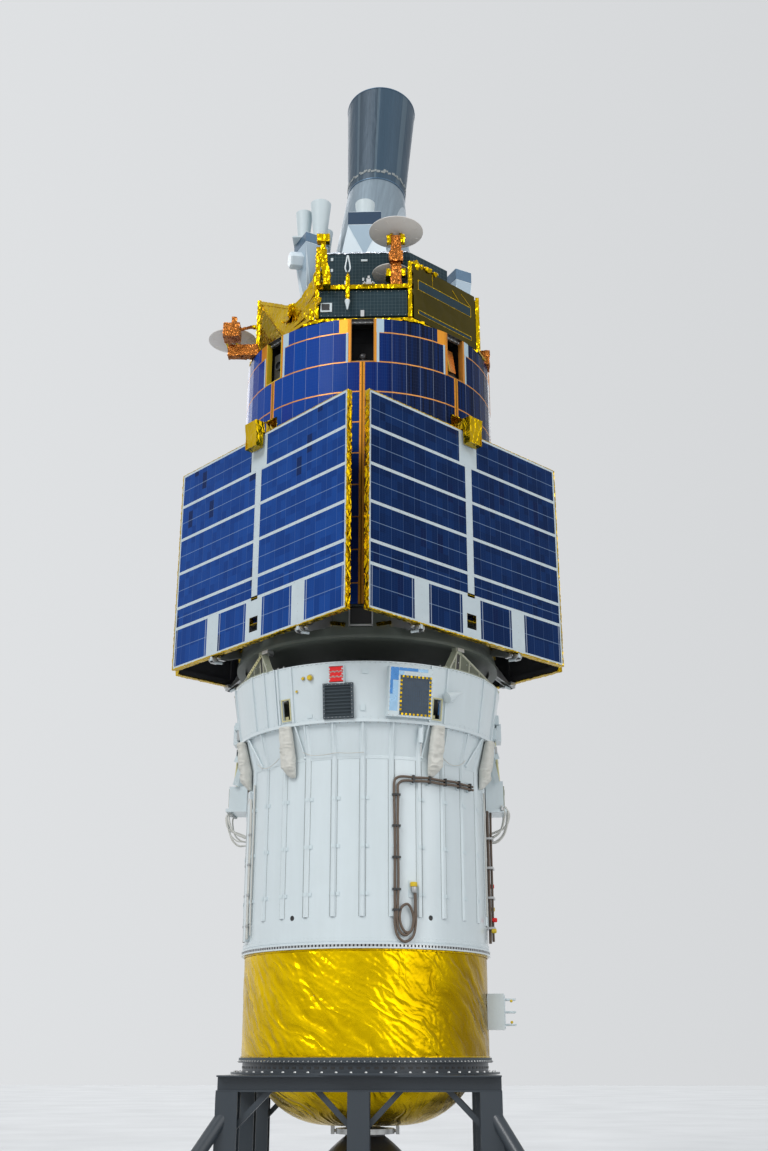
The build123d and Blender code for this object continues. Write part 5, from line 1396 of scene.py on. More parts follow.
def makeAdapterFittings():
    # machined caps on the feet, bolts in their soles, and the pierced plate on the left one
    foot = {
        "caps": (1.395, 5.552), "studs": (1.33, 5.55), "stud": [(0.024, 0), (0.024, 0.05), (0.018, 0.056)],
        "bolts": (-11.0, -8.0, -5.0, 5.0, 8.0, 11.0), "circles": (1.418, 1.372), "sole": 5.3315,
        "webRivets": (-4.76, -2.38, 2.38, 4.76),
    }
    caps, bolts = [], []
    for azimuth in (-45.0, 45.0, 135.0, 225.0):
        right, out = axesAt(azimuth)
        caps.append(boxes(polar(azimuth, *foot["caps"]), right * 0.047, upright * 0.019, out * 0.039))
        caps.append(turned(foot["stud"], polar(azimuth, *foot["studs"]), out, 16))
        for shift in foot["bolts"]:
            for reach in foot["circles"]:
                bolts.append(buttons(polar(azimuth + shift, reach, foot["sole"]), upright, 0.010, 0.012, 6))
        for shift in foot["webRivets"]:
            bolts.append(buttons(polar(azimuth + shift, 1.452, 5.40), out, 0.006, 0.005, 6))
    low, high = polar(-56.5, 1.452, 5.345), polar(-47.5, 1.428, 5.53)
    along = high - low
    right, out = axesAt(-52.0)
    across = unit(np.cross(out, along))
    plate = boxes((low + high) / 2, along / 2, across * 0.017, out * 0.003)
    spots = low + along * np.linspace(0.05, 0.95, 9)[:, None] + out * 0.003
    makePiece("truss_caps", caps, "metal")
    makePiece("truss_bolts", bolts, "metal")
    makePiece("pierced_plate", [plate], "paleYellow")
    makePiece("pierced_plate_holes", [buttons(spots, out, 0.0085, 0.0012, 12)], "black")


def makeTrussWebs():
    # on both faces of each foot: a dark slit under the apex, sunk panels, pale bars and rivets
    feet = {
        "rows": [(44, 37, 83), (-48, -41, -87), (136, 143, 97), (-136, -143, -97)],
        "slit": (0.118, 0.172), "panels": ((0.040, 0.098), (0.200, 0.345), (0.375, 0.545), (0.575, 0.740)),
        "bars": (0.108, 0.186, 0.360, 0.560), "rim": 0.022, "sole": 0.018, "half": 0.030, "cap": 0.042,
    }
    slits, panels, bars, rivets = [], [], [], []
    for apex, near, far in feet["rows"]:
        low, end, tip = polar(near, 1.432, 5.32), polar(far, 1.432, 5.32), polar(apex, 1.395, 5.535)
        along = unit(end - low)
        _, level = axesAt((near + far) / 2)
        normal = unit(np.cross(along, tip - low))
        normal = normal * np.sign(np.dot(normal, level))
        up = np.cross(normal, along)
        up = up * np.sign(up[2])
        span, head = np.linalg.norm(end - low), (tip - low) @ along
        knots = [0.0, head - feet["cap"], head + feet["cap"], span]
        rise = (tip - low) @ up

        def roof(place):
            return np.interp(place, knots, [0.0, rise, rise, 0.0])

        def plate(first, last, side, depth):
            # prism between two places along the sole, cut off below the sloping edges
            places = [first] + [k for k in knots[1:3] if first < k < last] + [last]
            outline = [(first, feet["sole"]), (last, feet["sole"])]
            outline += [(k, max(roof(k) - feet["rim"] * 1.15, feet["sole"] + 0.002)) for k in places[::-1]]
            flat = np.array([low + along * a + up * b for a, b in outline])
            back, front = (flat + normal * side * (feet["half"] + t) for t in (-0.002, depth))
            count = len(flat)
            ring = np.arange(count)
            ahead = np.roll(ring, -1)
            walls = np.stack((ring, ahead, ahead + count, ring + count), -1)
            faces = [ring[None, ::-1], ring[None] + count, walls]
            area = sum(np.cross(front[i] - front[0], front[i + 1] - front[0]) for i in range(1, count - 1))
            if np.dot(area, normal * side) < 0:
                faces = [group[:, ::-1] for group in faces]
            return np.concatenate((back, front)), faces

        for side in (-1, 1):
            slits.append(plate(feet["slit"][0] * span, feet["slit"][1] * span, side, 0.0012))
            panels += [plate(a * span, b * span, side, 0.0008) for a, b in feet["panels"]]
            face, raised = normal * side * (feet["half"] + 0.002), normal * side * 0.0025
            for share in feet["bars"]:
                foot, top = low + along * share * span, roof(share * span)
                middle = foot + up * (feet["sole"] + top) / 2 + face
                bars.append(boxes(middle, along * 0.006, up * (top - feet["sole"]) / 2, normal * 0.0025))
                heights = np.linspace(0.03, max(top - 0.02, 0.035), 6)[:, None]
                rivets.append(buttons(foot + face + raised + up * heights, normal * side, 0.004, 0.002, 6))
            for first, last in ((knots[0], knots[1]), (knots[2], knots[3])):
                start = low + along * first + up * roof(first)
                stop = low + along * last + up * roof(last)
                slope = stop - start
                drop = unit(np.cross(normal, slope))
                drop = -drop * np.sign(drop[2])
                middle = (start + stop) / 2 + drop * 0.009 + face
                bars.append(boxes(middle, slope * 0.47, drop * 0.009, normal * 0.0025))
                spots = start + slope * np.linspace(0.08, 0.90, 12)[:, None] + drop * 0.009
                rivets.append(buttons(spots + face + raised, normal * side, 0.0045, 0.0025, 6))
    makePiece("truss_slits", slits, "black")
    makePiece("truss_webs", panels, "primerDark")
    makePiece("truss_edges", bars, "footPale")
    makePiece("truss_rivets", rivets, "metal")


def makeAftOpening():
    # gold strips beside the openings under the paddles' gaps; dark liner and silver lip at the front one
    strips = []
    for azimuth in (0.0, 90.0, 180.0, 270.0):
        for side in (-1, 1):
            path = polar(azimuth + side * np.linspace(6.5, 19.0, 5), 1.412, np.linspace(5.71, 5.77, 5))
            strips.append(foilBar(path, 0.020, 0.034, upright, 0.03, 0.004, 0.012))
    right, out = axesAt(0.0)
    lip = {"reach": 1.408, "depth": 0.016, "middle": 5.80, "low": 5.700, "side": 0.1165}
    liner = [boxes(out * 1.402 + upright * lip["middle"], right * 0.108, upright * 0.093, out * 0.004)]
    foot = out * lip["reach"] + upright * lip["low"]
    bars = [boxes(foot, right * 0.124, upright * 0.008, out * lip["depth"])]
    for side in (-1, 1):
        centre = out * lip["reach"] + right * side * lip["side"] + upright * lip["middle"]
        bars.append(boxes(centre, right * 0.007, upright * 0.10, out * lip["depth"]))
    makePiece("aft_opening_liner", liner, "black")
    makePiece("aft_opening_lip", bars, "metal")
    makePiece("aft_foil_strips", strips, "gold", sharp=22)


def makeWallBars():
    # stout bars on the coned wall beside the slots, and the small white cylinder on the flare
    bars = []
    for azimuth in (-36.6, -29.6, 29.6, 37.2, 143.4, 150.6, 209.4, 216.6):
        low = wallFrame(azimuth, 4.756)[0]
        high, right, _, out = wallFrame(azimuth, 5.314)
        bars.append(boxes((low + high) / 2 + out * 0.009, right * 0.011, (high - low) / 2, out * 0.010))
    makePiece("wall_bars", bars, "white")
    foot = polar(26.0, 1.345, 4.655)
    lean = (0.03, -0.06, 1.0)
    outline = [(0.020, 0), (0.027, 0.004), (0.027, 0.150), (0.020, 0.154)]
    makePiece("flare_cylinder", [turned(outline, foot - upright * 0.12, lean, 14)], "white")
    rod = turned([(0.006, 0), (0.006, 0.14)], foot - upright * 0.25, lean, 8)
    makePiece("flare_rod", [rod], "metal")


def makeFlareWires():
    # thin lines clipped along the foot of the flare, with sagging spans
    wires = []
    for rows in (
        [(37.5, 4.452), (40.5, 4.405), (44.0, 4.375), (48.0, 4.382), (51.5, 4.415), (53.0, 4.452)],
        [(-40.0, 4.440), (-44.0, 4.398), (-48.5, 4.372), (-53.5, 4.392), (-57.0, 4.440)],
        [(-26.5, 4.46), (-22.5, 4.425), (-17.0, 4.418), (-11.0, 4.43), (-5.0, 4.424), (1.5, 4.43)],
    ):
        azimuth, z = throughPoints(rows, 90).T
        reach = skin + 0.034 + 0.245 * np.clip(z - stack["flareLow"], 0, 1)
        wires.append((polar(azimuth, reach, z), 0.0035, axesAt(azimuth)[1]))
    makeCables("flare_wires", wires, "braidWhite", 8)


def makeServiceBox():
    # ribs and caps of the white box at the right of the gold band
    right, out = axesAt(90.0)
    size = right * 0.10, upright * 0.008, out * 0.135
    ribs = [boxes(polar(90.0, 1.375, z), *size) for z in (1.93, 2.05, 2.17)]
    cap = [(0.014, 0), (0.014, 0.02), (0.010, 0.026)]
    caps = [turned(cap, polar(83.0, 1.47, z), (0, -1, 0), 12) for z in (1.95, 2.15)]
    makePiece("service_box_ribs", ribs, "whiteMatte")
    makePiece("service_box_caps", caps, "yellow")


# Satellite body: paddles, drum and windows

def makePaddleEdges():
    # crinkled foil over the edges, small screws along the pale strips
    edge = {
        "width": 0.060, "thick": 0.012, "sideReach": 0.003,
        "footReach": 0.008, "low": 0.004, "high": 0.002,
    }
    # foot, half width and head of the hole and of the slot over it
    openings = ((0.18, 0.07, 0.34), (0.465, 0.055, 0.509))
    for name, azimuth in paddle["azimuths"].items():
        right, out = axesAt(azimuth)
        middle = (paddle["inner"] + paddle["outer"]) / 2
        low, high = paddle["low"] - edge["low"], paddle["high"] + edge["high"]

        def spot(across, z, reach=middle):
            return right * across + out * reach + upright * z

        bars = []
        for side in (-1, 1):
            across = side * (paddle["half"] + edge["sideReach"])
            path = [spot(across, low), spot(across, high)]
            bars.append(foilBar(path, edge["width"], edge["thick"], right, 0.028, 0.0045, 0.012))
        across = paddle["half"] + edge["footReach"]
        path = [spot(-across, low), spot(across, low)]
        bars.append(foilBar(path, edge["width"], edge["thick"], upright, 0.028, 0.0045, 0.012))
        path = [spot(-paddle["half"], high), spot(paddle["half"], high)]
        bars.append(foilBar(path, edge["width"] * 0.9, edge["thick"] * 0.6, upright, 0.028, 0.003, 0.014))
        makePiece(name + "_foil_edge", bars, "gold", name, sharp=22)
        # foil inside the hole and the slot of the lower patch
        reveal = []
        for foot, half, head in openings:
            foot, head = paddle["low"] + foot, paddle["low"] + head
            for across in (0.002 - half, half - 0.002):
                path = [spot(across, foot), spot(across, head)]
                reveal.append(foilBar(path, 0.046, 0.004, right, 0.03, 0.0015, 0.012))
            for z in (foot + 0.002, head - 0.002):
                path = [spot(-half, z), spot(half, z)]
                reveal.append(foilBar(path, 0.046, 0.004, upright, 0.03, 0.0015, 0.012))
        makePiece(name + "_hole_foil", reveal, "gold", name, sharp=22)
        places = []
        for level in paddle["strips"]:
            places += [(a, paddle["low"] + level) for a in np.arange(-1.38, 1.39, 0.12)]
        for side in (-1, 1):
            places += [(side * 1.427, z) for z in np.arange(5.70, 7.95, 0.12)]
            places += [(side * 0.032, z) for z in np.arange(6.20, 7.56, 0.12)]
            places += [(side * paddle["leg"], z) for z in np.arange(5.70, 6.10, 0.08)]
        heads = np.array([spot(across, z, paddle["outer"] - 0.0002) for across, z in places])
        makePiece(name + "_screws", [buttons(heads, out, 0.005, 0.0025, 6)], "metal", name)


def makeLatchBoxes():
    # foil covered box over the middle of each paddle's upper edge, with a slanted front
    latch = {"half": 0.095, "low": 7.80, "high": 8.10, "inner": 1.624, "outer": 1.72, "foot": 1.611}
    deep, half = latch["outer"] - latch["inner"], latch["half"]
    for name, azimuth in paddle["azimuths"].items():
        right, out = axesAt(azimuth)
        back = out * (latch["inner"] + latch["outer"]) / 2
        low = out * (latch["outer"] - 0.020) + upright * latch["low"]
        high = out * (latch["outer"] + 0.010) + upright * latch["high"]
        sheets = [foilBar([low, high], 2 * half, 0.010, out, 0.09, 0.0022, 0.014)]
        for side in (-1, 1):
            edge = back + right * side * (half - 0.004)
            path = [edge + upright * (latch["low"] + 0.015), edge + upright * latch["high"]]
            sheets.append(foilBar(path, deep, 0.008, right, 0.09, 0.0016, 0.014))
        for z in (latch["low"] + 0.004, latch["high"] + 0.002):
            path = [back + upright * z - right * half, back + upright * z + right * half]
            sheets.append(foilBar(path, deep, 0.008, upright, 0.09, 0.0016, 0.014))
        foot = out * latch["foot"] + upright * (latch["low"] + 0.045)
        makePiece(name + "_latch_box", sheets, "gold", name, sharp=22)
        feet = [boxes(foot, right * 0.07, upright * 0.035, out * 0.0145)]
        makePiece(name + "_latch_foot", feet, "metal", name)


def makeHingeFittings():
    hinge = {
        "across": 0.725, "reach": 1.50, "z": 5.585, "rod": 0.015,
        "behind": 0.05, "ahead": 0.040, "drop": 0.010,
    }
    bolt = [(0.012, 0), (0.012, 0.02), (0.008, 0.024)]
    rods, blocks = [], []
    for azimuth in paddle["azimuths"].values():
        right, out = axesAt(azimuth)
        for side in (-1, 1):
            foot = right * side * hinge["across"] + out * hinge["reach"] + upright * hinge["z"]
            start, stop = foot - out * hinge["behind"], foot + out * hinge["ahead"] - upright * hinge["drop"]
            rods.append(tube(np.linspace(start, stop, 4), hinge["rod"], right, 12))
            for shift in (-0.07, 0.07):
                place = foot + right * shift + upright * 0.022
                blocks.append(boxes(place, right * 0.020, upright * 0.020, out * 0.035))
                blocks.append(turned(bolt, place + out * 0.035, out, 8))
    makePiece("hinge_rods", rods, "white", sharp=40)
    makePiece("hinge_blocks", blocks, "metal")


def makeDrumFittings():
    # rivets along the double tapes, frames in the windows
    window = {"frame": 0.035, "side": 0.127, "middle": 8.97, "sill": 8.706, "beam": 9.222, "knobs": 9.205}
    flat = stack["drumRadius"] * math.cos(math.pi / stack["facets"])
    knob = [(0.009, 0), (0.009, 0.016), (0.006, 0.02)]
    z = np.arange(6.02, 8.68, 0.105)
    rivets, tapes, yellow, pale, ceilings = [], [], [], [], []
    for azimuth in evenly(8):
        right, out = axesAt(azimuth)
        for shift in (-0.019, 0.019):
            centre = out * (stack["drumRadius"] * 0.9995 - 0.001) + right * shift + z[:, None] * upright
            rivets.append(buttons(centre, out, 0.004, 0.0025, 6))
        bars = yellow if azimuth in (315.0, 135.0) else tapes
        face = out * (flat - window["frame"])
        for side in (-1, 1):
            centre = face + right * side * window["side"] + upright * window["middle"]
            bars.append(boxes(centre, right * 0.0045, upright * 0.268, out * 0.034))
        bars.append(boxes(face + upright * window["sill"], right * 0.125, upright * 0.005, out * 0.034))
        centre = out * (flat - 0.060) + upright * window["beam"]
        pale.append(boxes(centre, right * 0.122, upright * 0.014, out * 0.016))
        for shift in (-0.085, -0.03, 0.03, 0.085):
            place = out * (flat - 0.044) + right * shift + upright * window["knobs"]
            pale.append(turned(knob, place, out, 8))
        centre = out * (flat - 0.115) + upright * 9.2375
        ceilings.append(boxes(centre, right * 0.130, upright * 0.0015, out * 0.112))
    makePiece("tape_rivets", rivets, "copper")
    makePiece("window_tapes", tapes, "orangeTape")
    makePiece("window_yellow_frames", yellow, "yellow")
    makePiece("window_beams", pale, "metal")
    # tilted copper mirrors in the windows at 45 and 225 degrees, with a yellow rod
    mirrors, rods = [], []
    for azimuth in (45.0, 225.0):
        right, out = axesAt(azimuth)
        low = out * (flat - 0.055) - right * 0.055 + upright * 8.80
        high = out * (flat - 0.115) - right * 0.045 + upright * 9.12
        lift = unit(high - low)
        centre = (low + high) / 2 + right * 0.052
        mirrors.append(boxes(centre, right * 0.062, lift * 0.155, unit(np.cross(right, lift)) * 0.003))
        rods.append(tube(np.linspace(low + out * 0.012, high + out * 0.012, 6), 0.007, right, 10))
    makePiece("window_ceilings", ceilings, "black")
    makePiece("window_mirrors", mirrors, "copperSheet")
    makePiece("window_rods", rods, "yellow", sharp=40)


# Payload deck and what stands on it

def makeFoilWraps():
    # node, look, longest edge, size and depth of its creases, body
    wraps = [
        ("gusset_frame", "gold", 0.032, 0.055, 0.0038, "stack"),
        ("deck_posts", "gold", 0.026, 0.045, 0.0032, "stack"),
        ("deck_base", "gold", 0.050, 0.090, 0.0042, "stack"),
        ("front_antenna", "gold", 0.020, 0.035, 0.0030, "stack"),
        ("paddle_latches", "gold", 0.026, 0.045, 0.0030, "stack"),
        ("front_mast", "copper", 0.026, 0.055, 0.0045, "stack"),
        ("copper_boxes", "copper", 0.026, 0.060, 0.0080, "stack"),
        ("left_boom", "copper", 0.022, 0.050, 0.0045, "left_boom"),
    ]
    for wrap in wraps:
        foilWrap(*wrap)


def lump(centre, radii, turn, rows=22, columns=34, depth=0.016, size=0.07):
    # crumpled ball of foil: a stretched ball with closed poles, creased
    down = np.linspace(0.06, math.pi - 0.06, rows)
    v, u = np.meshgrid(down, np.linspace(0, 2 * math.pi, columns, endpoint=False), indexing="ij")
    ball = np.stack((np.sin(v) * np.cos(u), np.sin(v) * np.sin(u), -np.cos(v)), -1).reshape(-1, 3) * radii
    cosine, sine = math.cos(turn), math.sin(turn)
    ball = ball @ np.array([[cosine, sine, 0], [-sine, cosine, 0], [0, 0, 1.0]])
    points = creased(ball + np.asarray(centre), size, depth)
    first = np.arange(columns)[None, ::-1]
    return points, [gridFaces(rows, columns, closed=True), first, first[:, ::-1] + (rows - 1) * columns]


def makeLooseFoil():
    # bunched foil where the blankets meet, and the drape from the gusset to the deck
    lumps = [
        lump((0.575, -1.22, 10.070), (0.055, 0.045, 0.045), 0.4),
        lump((0.630, -1.17, 10.065), (0.06, 0.05, 0.035), 1.1),
        lump((0.705, -1.10, 10.060), (0.07, 0.05, 0.035), 0.2),
        lump((0.590, -1.22, 10.030), (0.04, 0.035, 0.05), 2.0),
        lump((0.795, -1.01, 10.055), (0.05, 0.045, 0.03), 0.9),
        lump((-0.52, -1.30, 9.83), (0.06, 0.05, 0.14), 0.0),
    ]
    makePiece("deck_foil_bunches", lumps, "gold", sharp=20)
    drape = []
    for rows, width in (
        ([(-0.93, -0.90, 9.62), (-0.80, -1.04, 9.60), (-0.66, -1.18, 9.66), (-0.545, -1.285, 9.80)], 0.20),
        ([(-0.545, -1.29, 9.62), (-0.60, -1.25, 9.50), (-0.66, -1.19, 9.40)], 0.24),
    ):
        drape.append(foilBar(throughPoints(rows, 40), 0.018, width, (0.7, -0.7, 0.0), 0.06, 0.010, 0.016))
    makePiece("gusset_drape", drape, "gold", sharp=22)
    # blanket behind the corner posts, from the deck's lower edge over the drum's rim
    skirt = []
    for azimuth in (-22.5, 22.5, 67.5, 112.5, 157.5, 202.5, 247.5, 292.5):
        right, out = axesAt(azimuth)
        foot = out * 1.40 + upright * 9.262
        path = [foot - right * 0.13, foot + right * 0.13]
        skirt.append(foilBar(path, 0.10, 0.03, upright, 0.05, 0.008, 0.016))
    makePiece("rim_foil", skirt, "gold", sharp=22)


def makeGussetSheets():
    # crinkled film behind the struts: one sheet in each triangle beside the middle one
    sheet = {
        "foot": 9.352, "low": 9.458, "high": 10.048, "beside": 0.06, "inset": 0.024,
        "count": 16, "thick": 0.006,
    }
    corner, flat = deck["corner"], deck["flat"]
    points = np.array([
        (-flat - sheet["beside"], 0.04 - corner, sheet["low"]),
        (sheet["inset"] - corner, -flat, sheet["high"]),
        (sheet["inset"] - corner, flat, sheet["high"]),
        (-flat - sheet["beside"], corner - 0.04, sheet["low"]),
    ])
    rows = sheet["count"]
    u, v = (grid.reshape(-1, 1) for grid in np.meshgrid(np.linspace(0, 1, rows), np.linspace(0, 1, rows)))
    # the outline of a square grid, once round
    corners = np.arange(rows * rows).reshape(rows, rows)
    edge = np.concatenate((corners[0], corners[1:, -1], corners[-1, -2::-1], corners[-2:0:-1, 0]))
    ahead = np.roll(edge, -1)
    grid, count = gridFaces(rows, rows), rows * rows
    faces = [grid, grid[:, ::-1] + count, np.stack((ahead + count, edge + count, edge, ahead), -1)]
    sheets = []
    for start, end in zip(points[:-1], points[1:]):
        feet = [np.array([*point[:2], sheet["foot"]]) for point in (start, end)]
        middle = (feet[0] + feet[1]) / 2
        for top, foot in ((start, feet[0]), (end, feet[1])):
            # from the post (foot to top) towards the struts' meeting point, narrower as it goes
            post = foot + (top - foot) * v
            line = post + (middle - post) * (u * 0.97)
            face = unit(np.cross(top - foot, middle - foot))
            front = creased(line + face * 0.004, 0.09, 0.008)
            sheets.append((np.concatenate((front, front - face * sheet["thick"])), faces))
    # the sheets take the darker copy of the gold, painted shade for the triangles behind the struts
    makePiece("gusset_sheets", sheets, "goldPaintedShade", sharp=22)


def frontBlock(x, z, width, height, back, depth):
    # block on a front face, from y = back towards the viewer
    return boxes((x, back - depth / 2, z), (width / 2, 0, 0), (0, 0, height / 2), (0, -depth / 2, 0))


def makeFrontDeck():
    # on the front: white targets, bracket, shutter, film along the platform's edge
    front, panel, bracket = -deck["frontReach"], -deck["panelReach"], -1.321
    # x, z, width, height
    targets = (
        (-0.40, 10.44, 0.028, 0.040), (-0.02, 10.42, 0.075, 0.026), (-0.40, 10.29, 0.026, 0.040),
        (-0.45, 10.06, 0.024, 0.045), (-0.24, 10.12, 0.022, 0.044), (-0.03, 10.16, 0.022, 0.040),
        (-0.02, 10.02, 0.026, 0.045), (-0.21, 9.96, 0.040, 0.022), (0.34, 10.31, 0.030, 0.03),
    )
    brackets = ((0.06, 9.755, 0.13, 0.018), (0.06, 9.79, 0.05, 0.055), (0.06, 9.83, 0.025, 0.04))
    white = [frontBlock(*row, front + 0.001, 0.010) for row in targets]
    white.append(frontBlock(-0.415, 9.475, 0.128, 0.112, panel, 0.012))
    dark = frontBlock(-0.422, 9.478, 0.088, 0.080, panel - 0.0115, 0.004)
    metal = [frontBlock(*row, bracket, 0.028) for row in brackets]
    for shift in (-0.045, 0.045):
        knob = [(0.011, 0), (0.011, 0.018), (0.007, 0.022)]
        metal.append(turned(knob, (0.06 + shift, -1.349, 9.755), (0, -1, 0), 10))
    metal.append(frontBlock(-0.01, 9.385, 0.040, 0.08, panel - 0.002, 0.020))
    for x in np.arange(-0.47, 0.48, 0.0783):
        for z in (9.372, 9.678):
            metal.append(buttons((x, panel, z), (0, -1, 0), 0.005, 0.004, 6))
    makePiece("deck_targets", white, "white")
    makePiece("deck_brackets", metal, "metal")
    makePiece("deck_shutter", [dark], "black")
    path = [(-0.50, -0.792, 10.524), (0.50, -0.792, 10.524)]
    film = foilBar(path, 0.034, 0.016, upright, 0.05, 0.006, 0.014)
    makePiece("platform_film", [film], "silverFilm", sharp=24)
    # prongs over the slender antenna, and its white cone below
    antenna = {
        "x": -0.175, "y": -1.378, "nib": ((0.012, 9.885), (0.027, 9.93), (0.022, 9.99), (0.004, 10.10)),
    }
    rods = []
    for side in (-1, 1):
        path = [(antenna["x"] + side * across, antenna["y"], z) for across, z in antenna["nib"]]
        rods.append(tube(throughPoints(path, 24), 0.008, (0, 1.0, 0), 8))
    cone = [(0.007, -0.10), (0.030, 0.0), (0.030, 0.02), (0.012, 0.03)]
    rods.append(turned(cone, (antenna["x"], -1.375, 9.50), (0, 0, 1), 16))
    makePiece("antenna_prongs", rods, "white", sharp=40)


def makeChamferStrips():
    # dark strips with yellow borders on the right foil panels, and bright lines above them
    strips, lines = [], []
    face = {"rows": ((9.74, 9.865), (9.425, 9.475)), "half": 0.43, "line": 0.008}
    half, thin = face["half"], face["line"] * 0.6
    # start and end as (across, height), width
    marks = [
        ((0.12, 9.975), (0.23, 9.875), face["line"]), ((0.27, 9.985), (half, 9.875), face["line"]),
        ((-0.20, 9.86), (-0.20, 10.03), thin),
    ]
    for azimuth in (45.0, 135.0):
        right, out = axesAt(azimuth)

        def bar(start, end, width, depth=0.003):
            first, last = (right * a + out * deck["panelReach"] + upright * z for a, z in (start, end))
            along = last - first
            across = unit(np.cross(out, along))
            return boxes((first + last) / 2 + out * depth / 2, along / 2, across * width / 2, out * depth / 2)

        for low, high in face["rows"]:
            middle = (low + high) / 2
            strips.append(bar((-half, middle), (half, middle), high - low, 0.0015))
            lines.append(bar((-half, high), (half, high), face["line"]))
            lines.append(bar((-half, low), (half, low), thin))
            lines += [bar((side * half, low), (side * half, high), face["line"]) for side in (-1, 1)]
        lines += [bar(*mark) for mark in marks]
    makePiece("foil_panel_strips", strips, "deckStrip")
    makePiece("foil_panel_lines", lines, "gold")


# how far the foot edges of a sensor's faces are drawn in, and where they start and end
facet = {"front": 0.72, "side": 0.80, "shares": (0.42, 0.58)}


def facetBody(centre, azimuth, foot, head, low, shoulder):
    # body between a rectangular head and foot: on each side one face leans in to a short foot edge,
    # and a triangle fills each corner
    right, out = axesAt(azimuth)
    base = np.array([centre[0], centre[1], 0.0])
    corners = np.array([(-1, 1), (1, 1), (1, -1), (-1, -1)])
    top, bottom = corners * head / 2, []
    for i, corner in enumerate(corners):
        start, end = corner * foot / 2, corners[(i + 1) % 4] * foot / 2
        bottom.append(start)
        drawn = facet["side"] if i % 2 else facet["front"]
        bottom += [(start + (end - start) * share) * drawn for share in facet["shares"]]
    points = [base + right * a + out * b + upright * shoulder for a, b in top]
    points += [base + right * a + out * b + upright * low for a, b in bottom]
    groups = []
    for i in range(4):
        j = (i + 1) % 4
        b = 4 + 3 * i
        groups.append(np.array([[i, b + 1, b + 2, j]]))
        groups.append(np.array([[i, b, b + 1]]))
        groups.append(np.array([[j, b + 2, 4 + 3 * j]]))
    groups.append(np.array([[0, 1, 2, 3]]))
    groups.append(np.arange(4, 16)[None])
    return np.array(points), groups


def cornerFacets(centre, azimuth, foot, head, low, shoulder, lift=0.002):
    # painted shade: the middle facet of each side, a narrow triangle pointing down, laid just over the body
    # in a darker copy of the sensors' white
    right, out = axesAt(azimuth)
    base = np.array([centre[0], centre[1], 0.0])
    shapes = []
    for across, sideways, width, reach, footReach in (
        (right, out, head[0], head[1] / 2, foot[1] / 2 * facet["front"]),
        (out, right, head[1], head[0] / 2, foot[0] / 2 * facet["side"]),
    ):
        for outward in (-sideways, sideways):
            top = base + outward * reach + upright * (shoulder - 0.004)
            tip = base + outward * footReach + upright * (low + 0.01)
            corners = [top - across * width * 0.5, top + across * width * 0.5, tip]
            thick = unit(np.cross(corners[1] - corners[0], corners[2] - corners[0]))
            thick = thick * np.sign(np.dot(thick, outward))
            points = np.array([c + thick * t for t in (-0.001, lift + 0.001) for c in corners])
            walls = np.array([[0, 1, 4, 3], [1, 2, 5, 4], [2, 0, 3, 5]])
            faces = [np.array([[0, 2, 1]]), np.array([[3, 4, 5]]), walls]
            normal = np.cross(points[4] - points[3], points[5] - points[3])
            if np.dot(normal, outward) < 0:
                faces = [group[:, ::-1] for group in faces]
            shapes.append((points, faces))
    return shapes


def makeSensorSkins():
    # x, y, azimuth, foot, head, foot z, body z, shoulder, top
    rows = [
        (-0.02, -0.665, 0.0, (0.54, 0.26), (0.39, 0.24), 10.52, 10.52, 10.935, 11.12),
        (-0.695, -0.33, -60.0, (0.15, 0.15), (0.34, 0.30), 9.33, 10.10, 10.88, 11.02),
        (1.11, 0.38, 120.0, (0.22, 0.20), (0.28, 0.22), 9.70, 9.70, 10.80, 10.96),
    ]
    skins, bands, steel, shades = [], [], [], []
    for x, y, azimuth, foot, head, low, body, shoulder, top in rows:
        right, out = axesAt(azimuth)
        skins.append(facetBody((x, y), azimuth, foot, head, body, shoulder))
        shades += cornerFacets((x, y), azimuth, foot, head, body, shoulder)
        centre = np.array([x, y, (shoulder + top) / 2])
        skins.append(boxes(centre, right * head[0] / 2, (0, 0, (top - shoulder) / 2), out * head[1] / 2))
        band = (top - shoulder) / 2 - 0.006
        row = bands if azimuth == 0.0 else steel
        row.append(boxes(centre, right * (head[0] / 2 + 0.003), (0, 0, band), out * (head[1] / 2 + 0.003)))
        if body > low:
            centre = np.array([x, y, (low + body) / 2])
            skins.append(boxes(centre, right * foot[0] / 2, (0, 0, (body - low) / 2), out * foot[1] / 2))
    axis = np.array([1.0, 0.35, 0.1])
    drum = [(0.09, 0), (0.105, 0.02), (0.105, 0.24), (0.06, 0.26)]
    skins.append(turned(drum, (-0.95, -0.43, 10.70), axis, 6))
    makePiece("sensor_skins", skins, "sensorWhite", sharp=15, replaced=("sensor_boxes",))
    makePiece("sensor_bands", bands, "bandBlue")
    makePiece("sensor_side_bands", steel, "bandSteel")
    makePiece("sensor_painted_shade_facets", shades, "sensorShade", sharp=15)


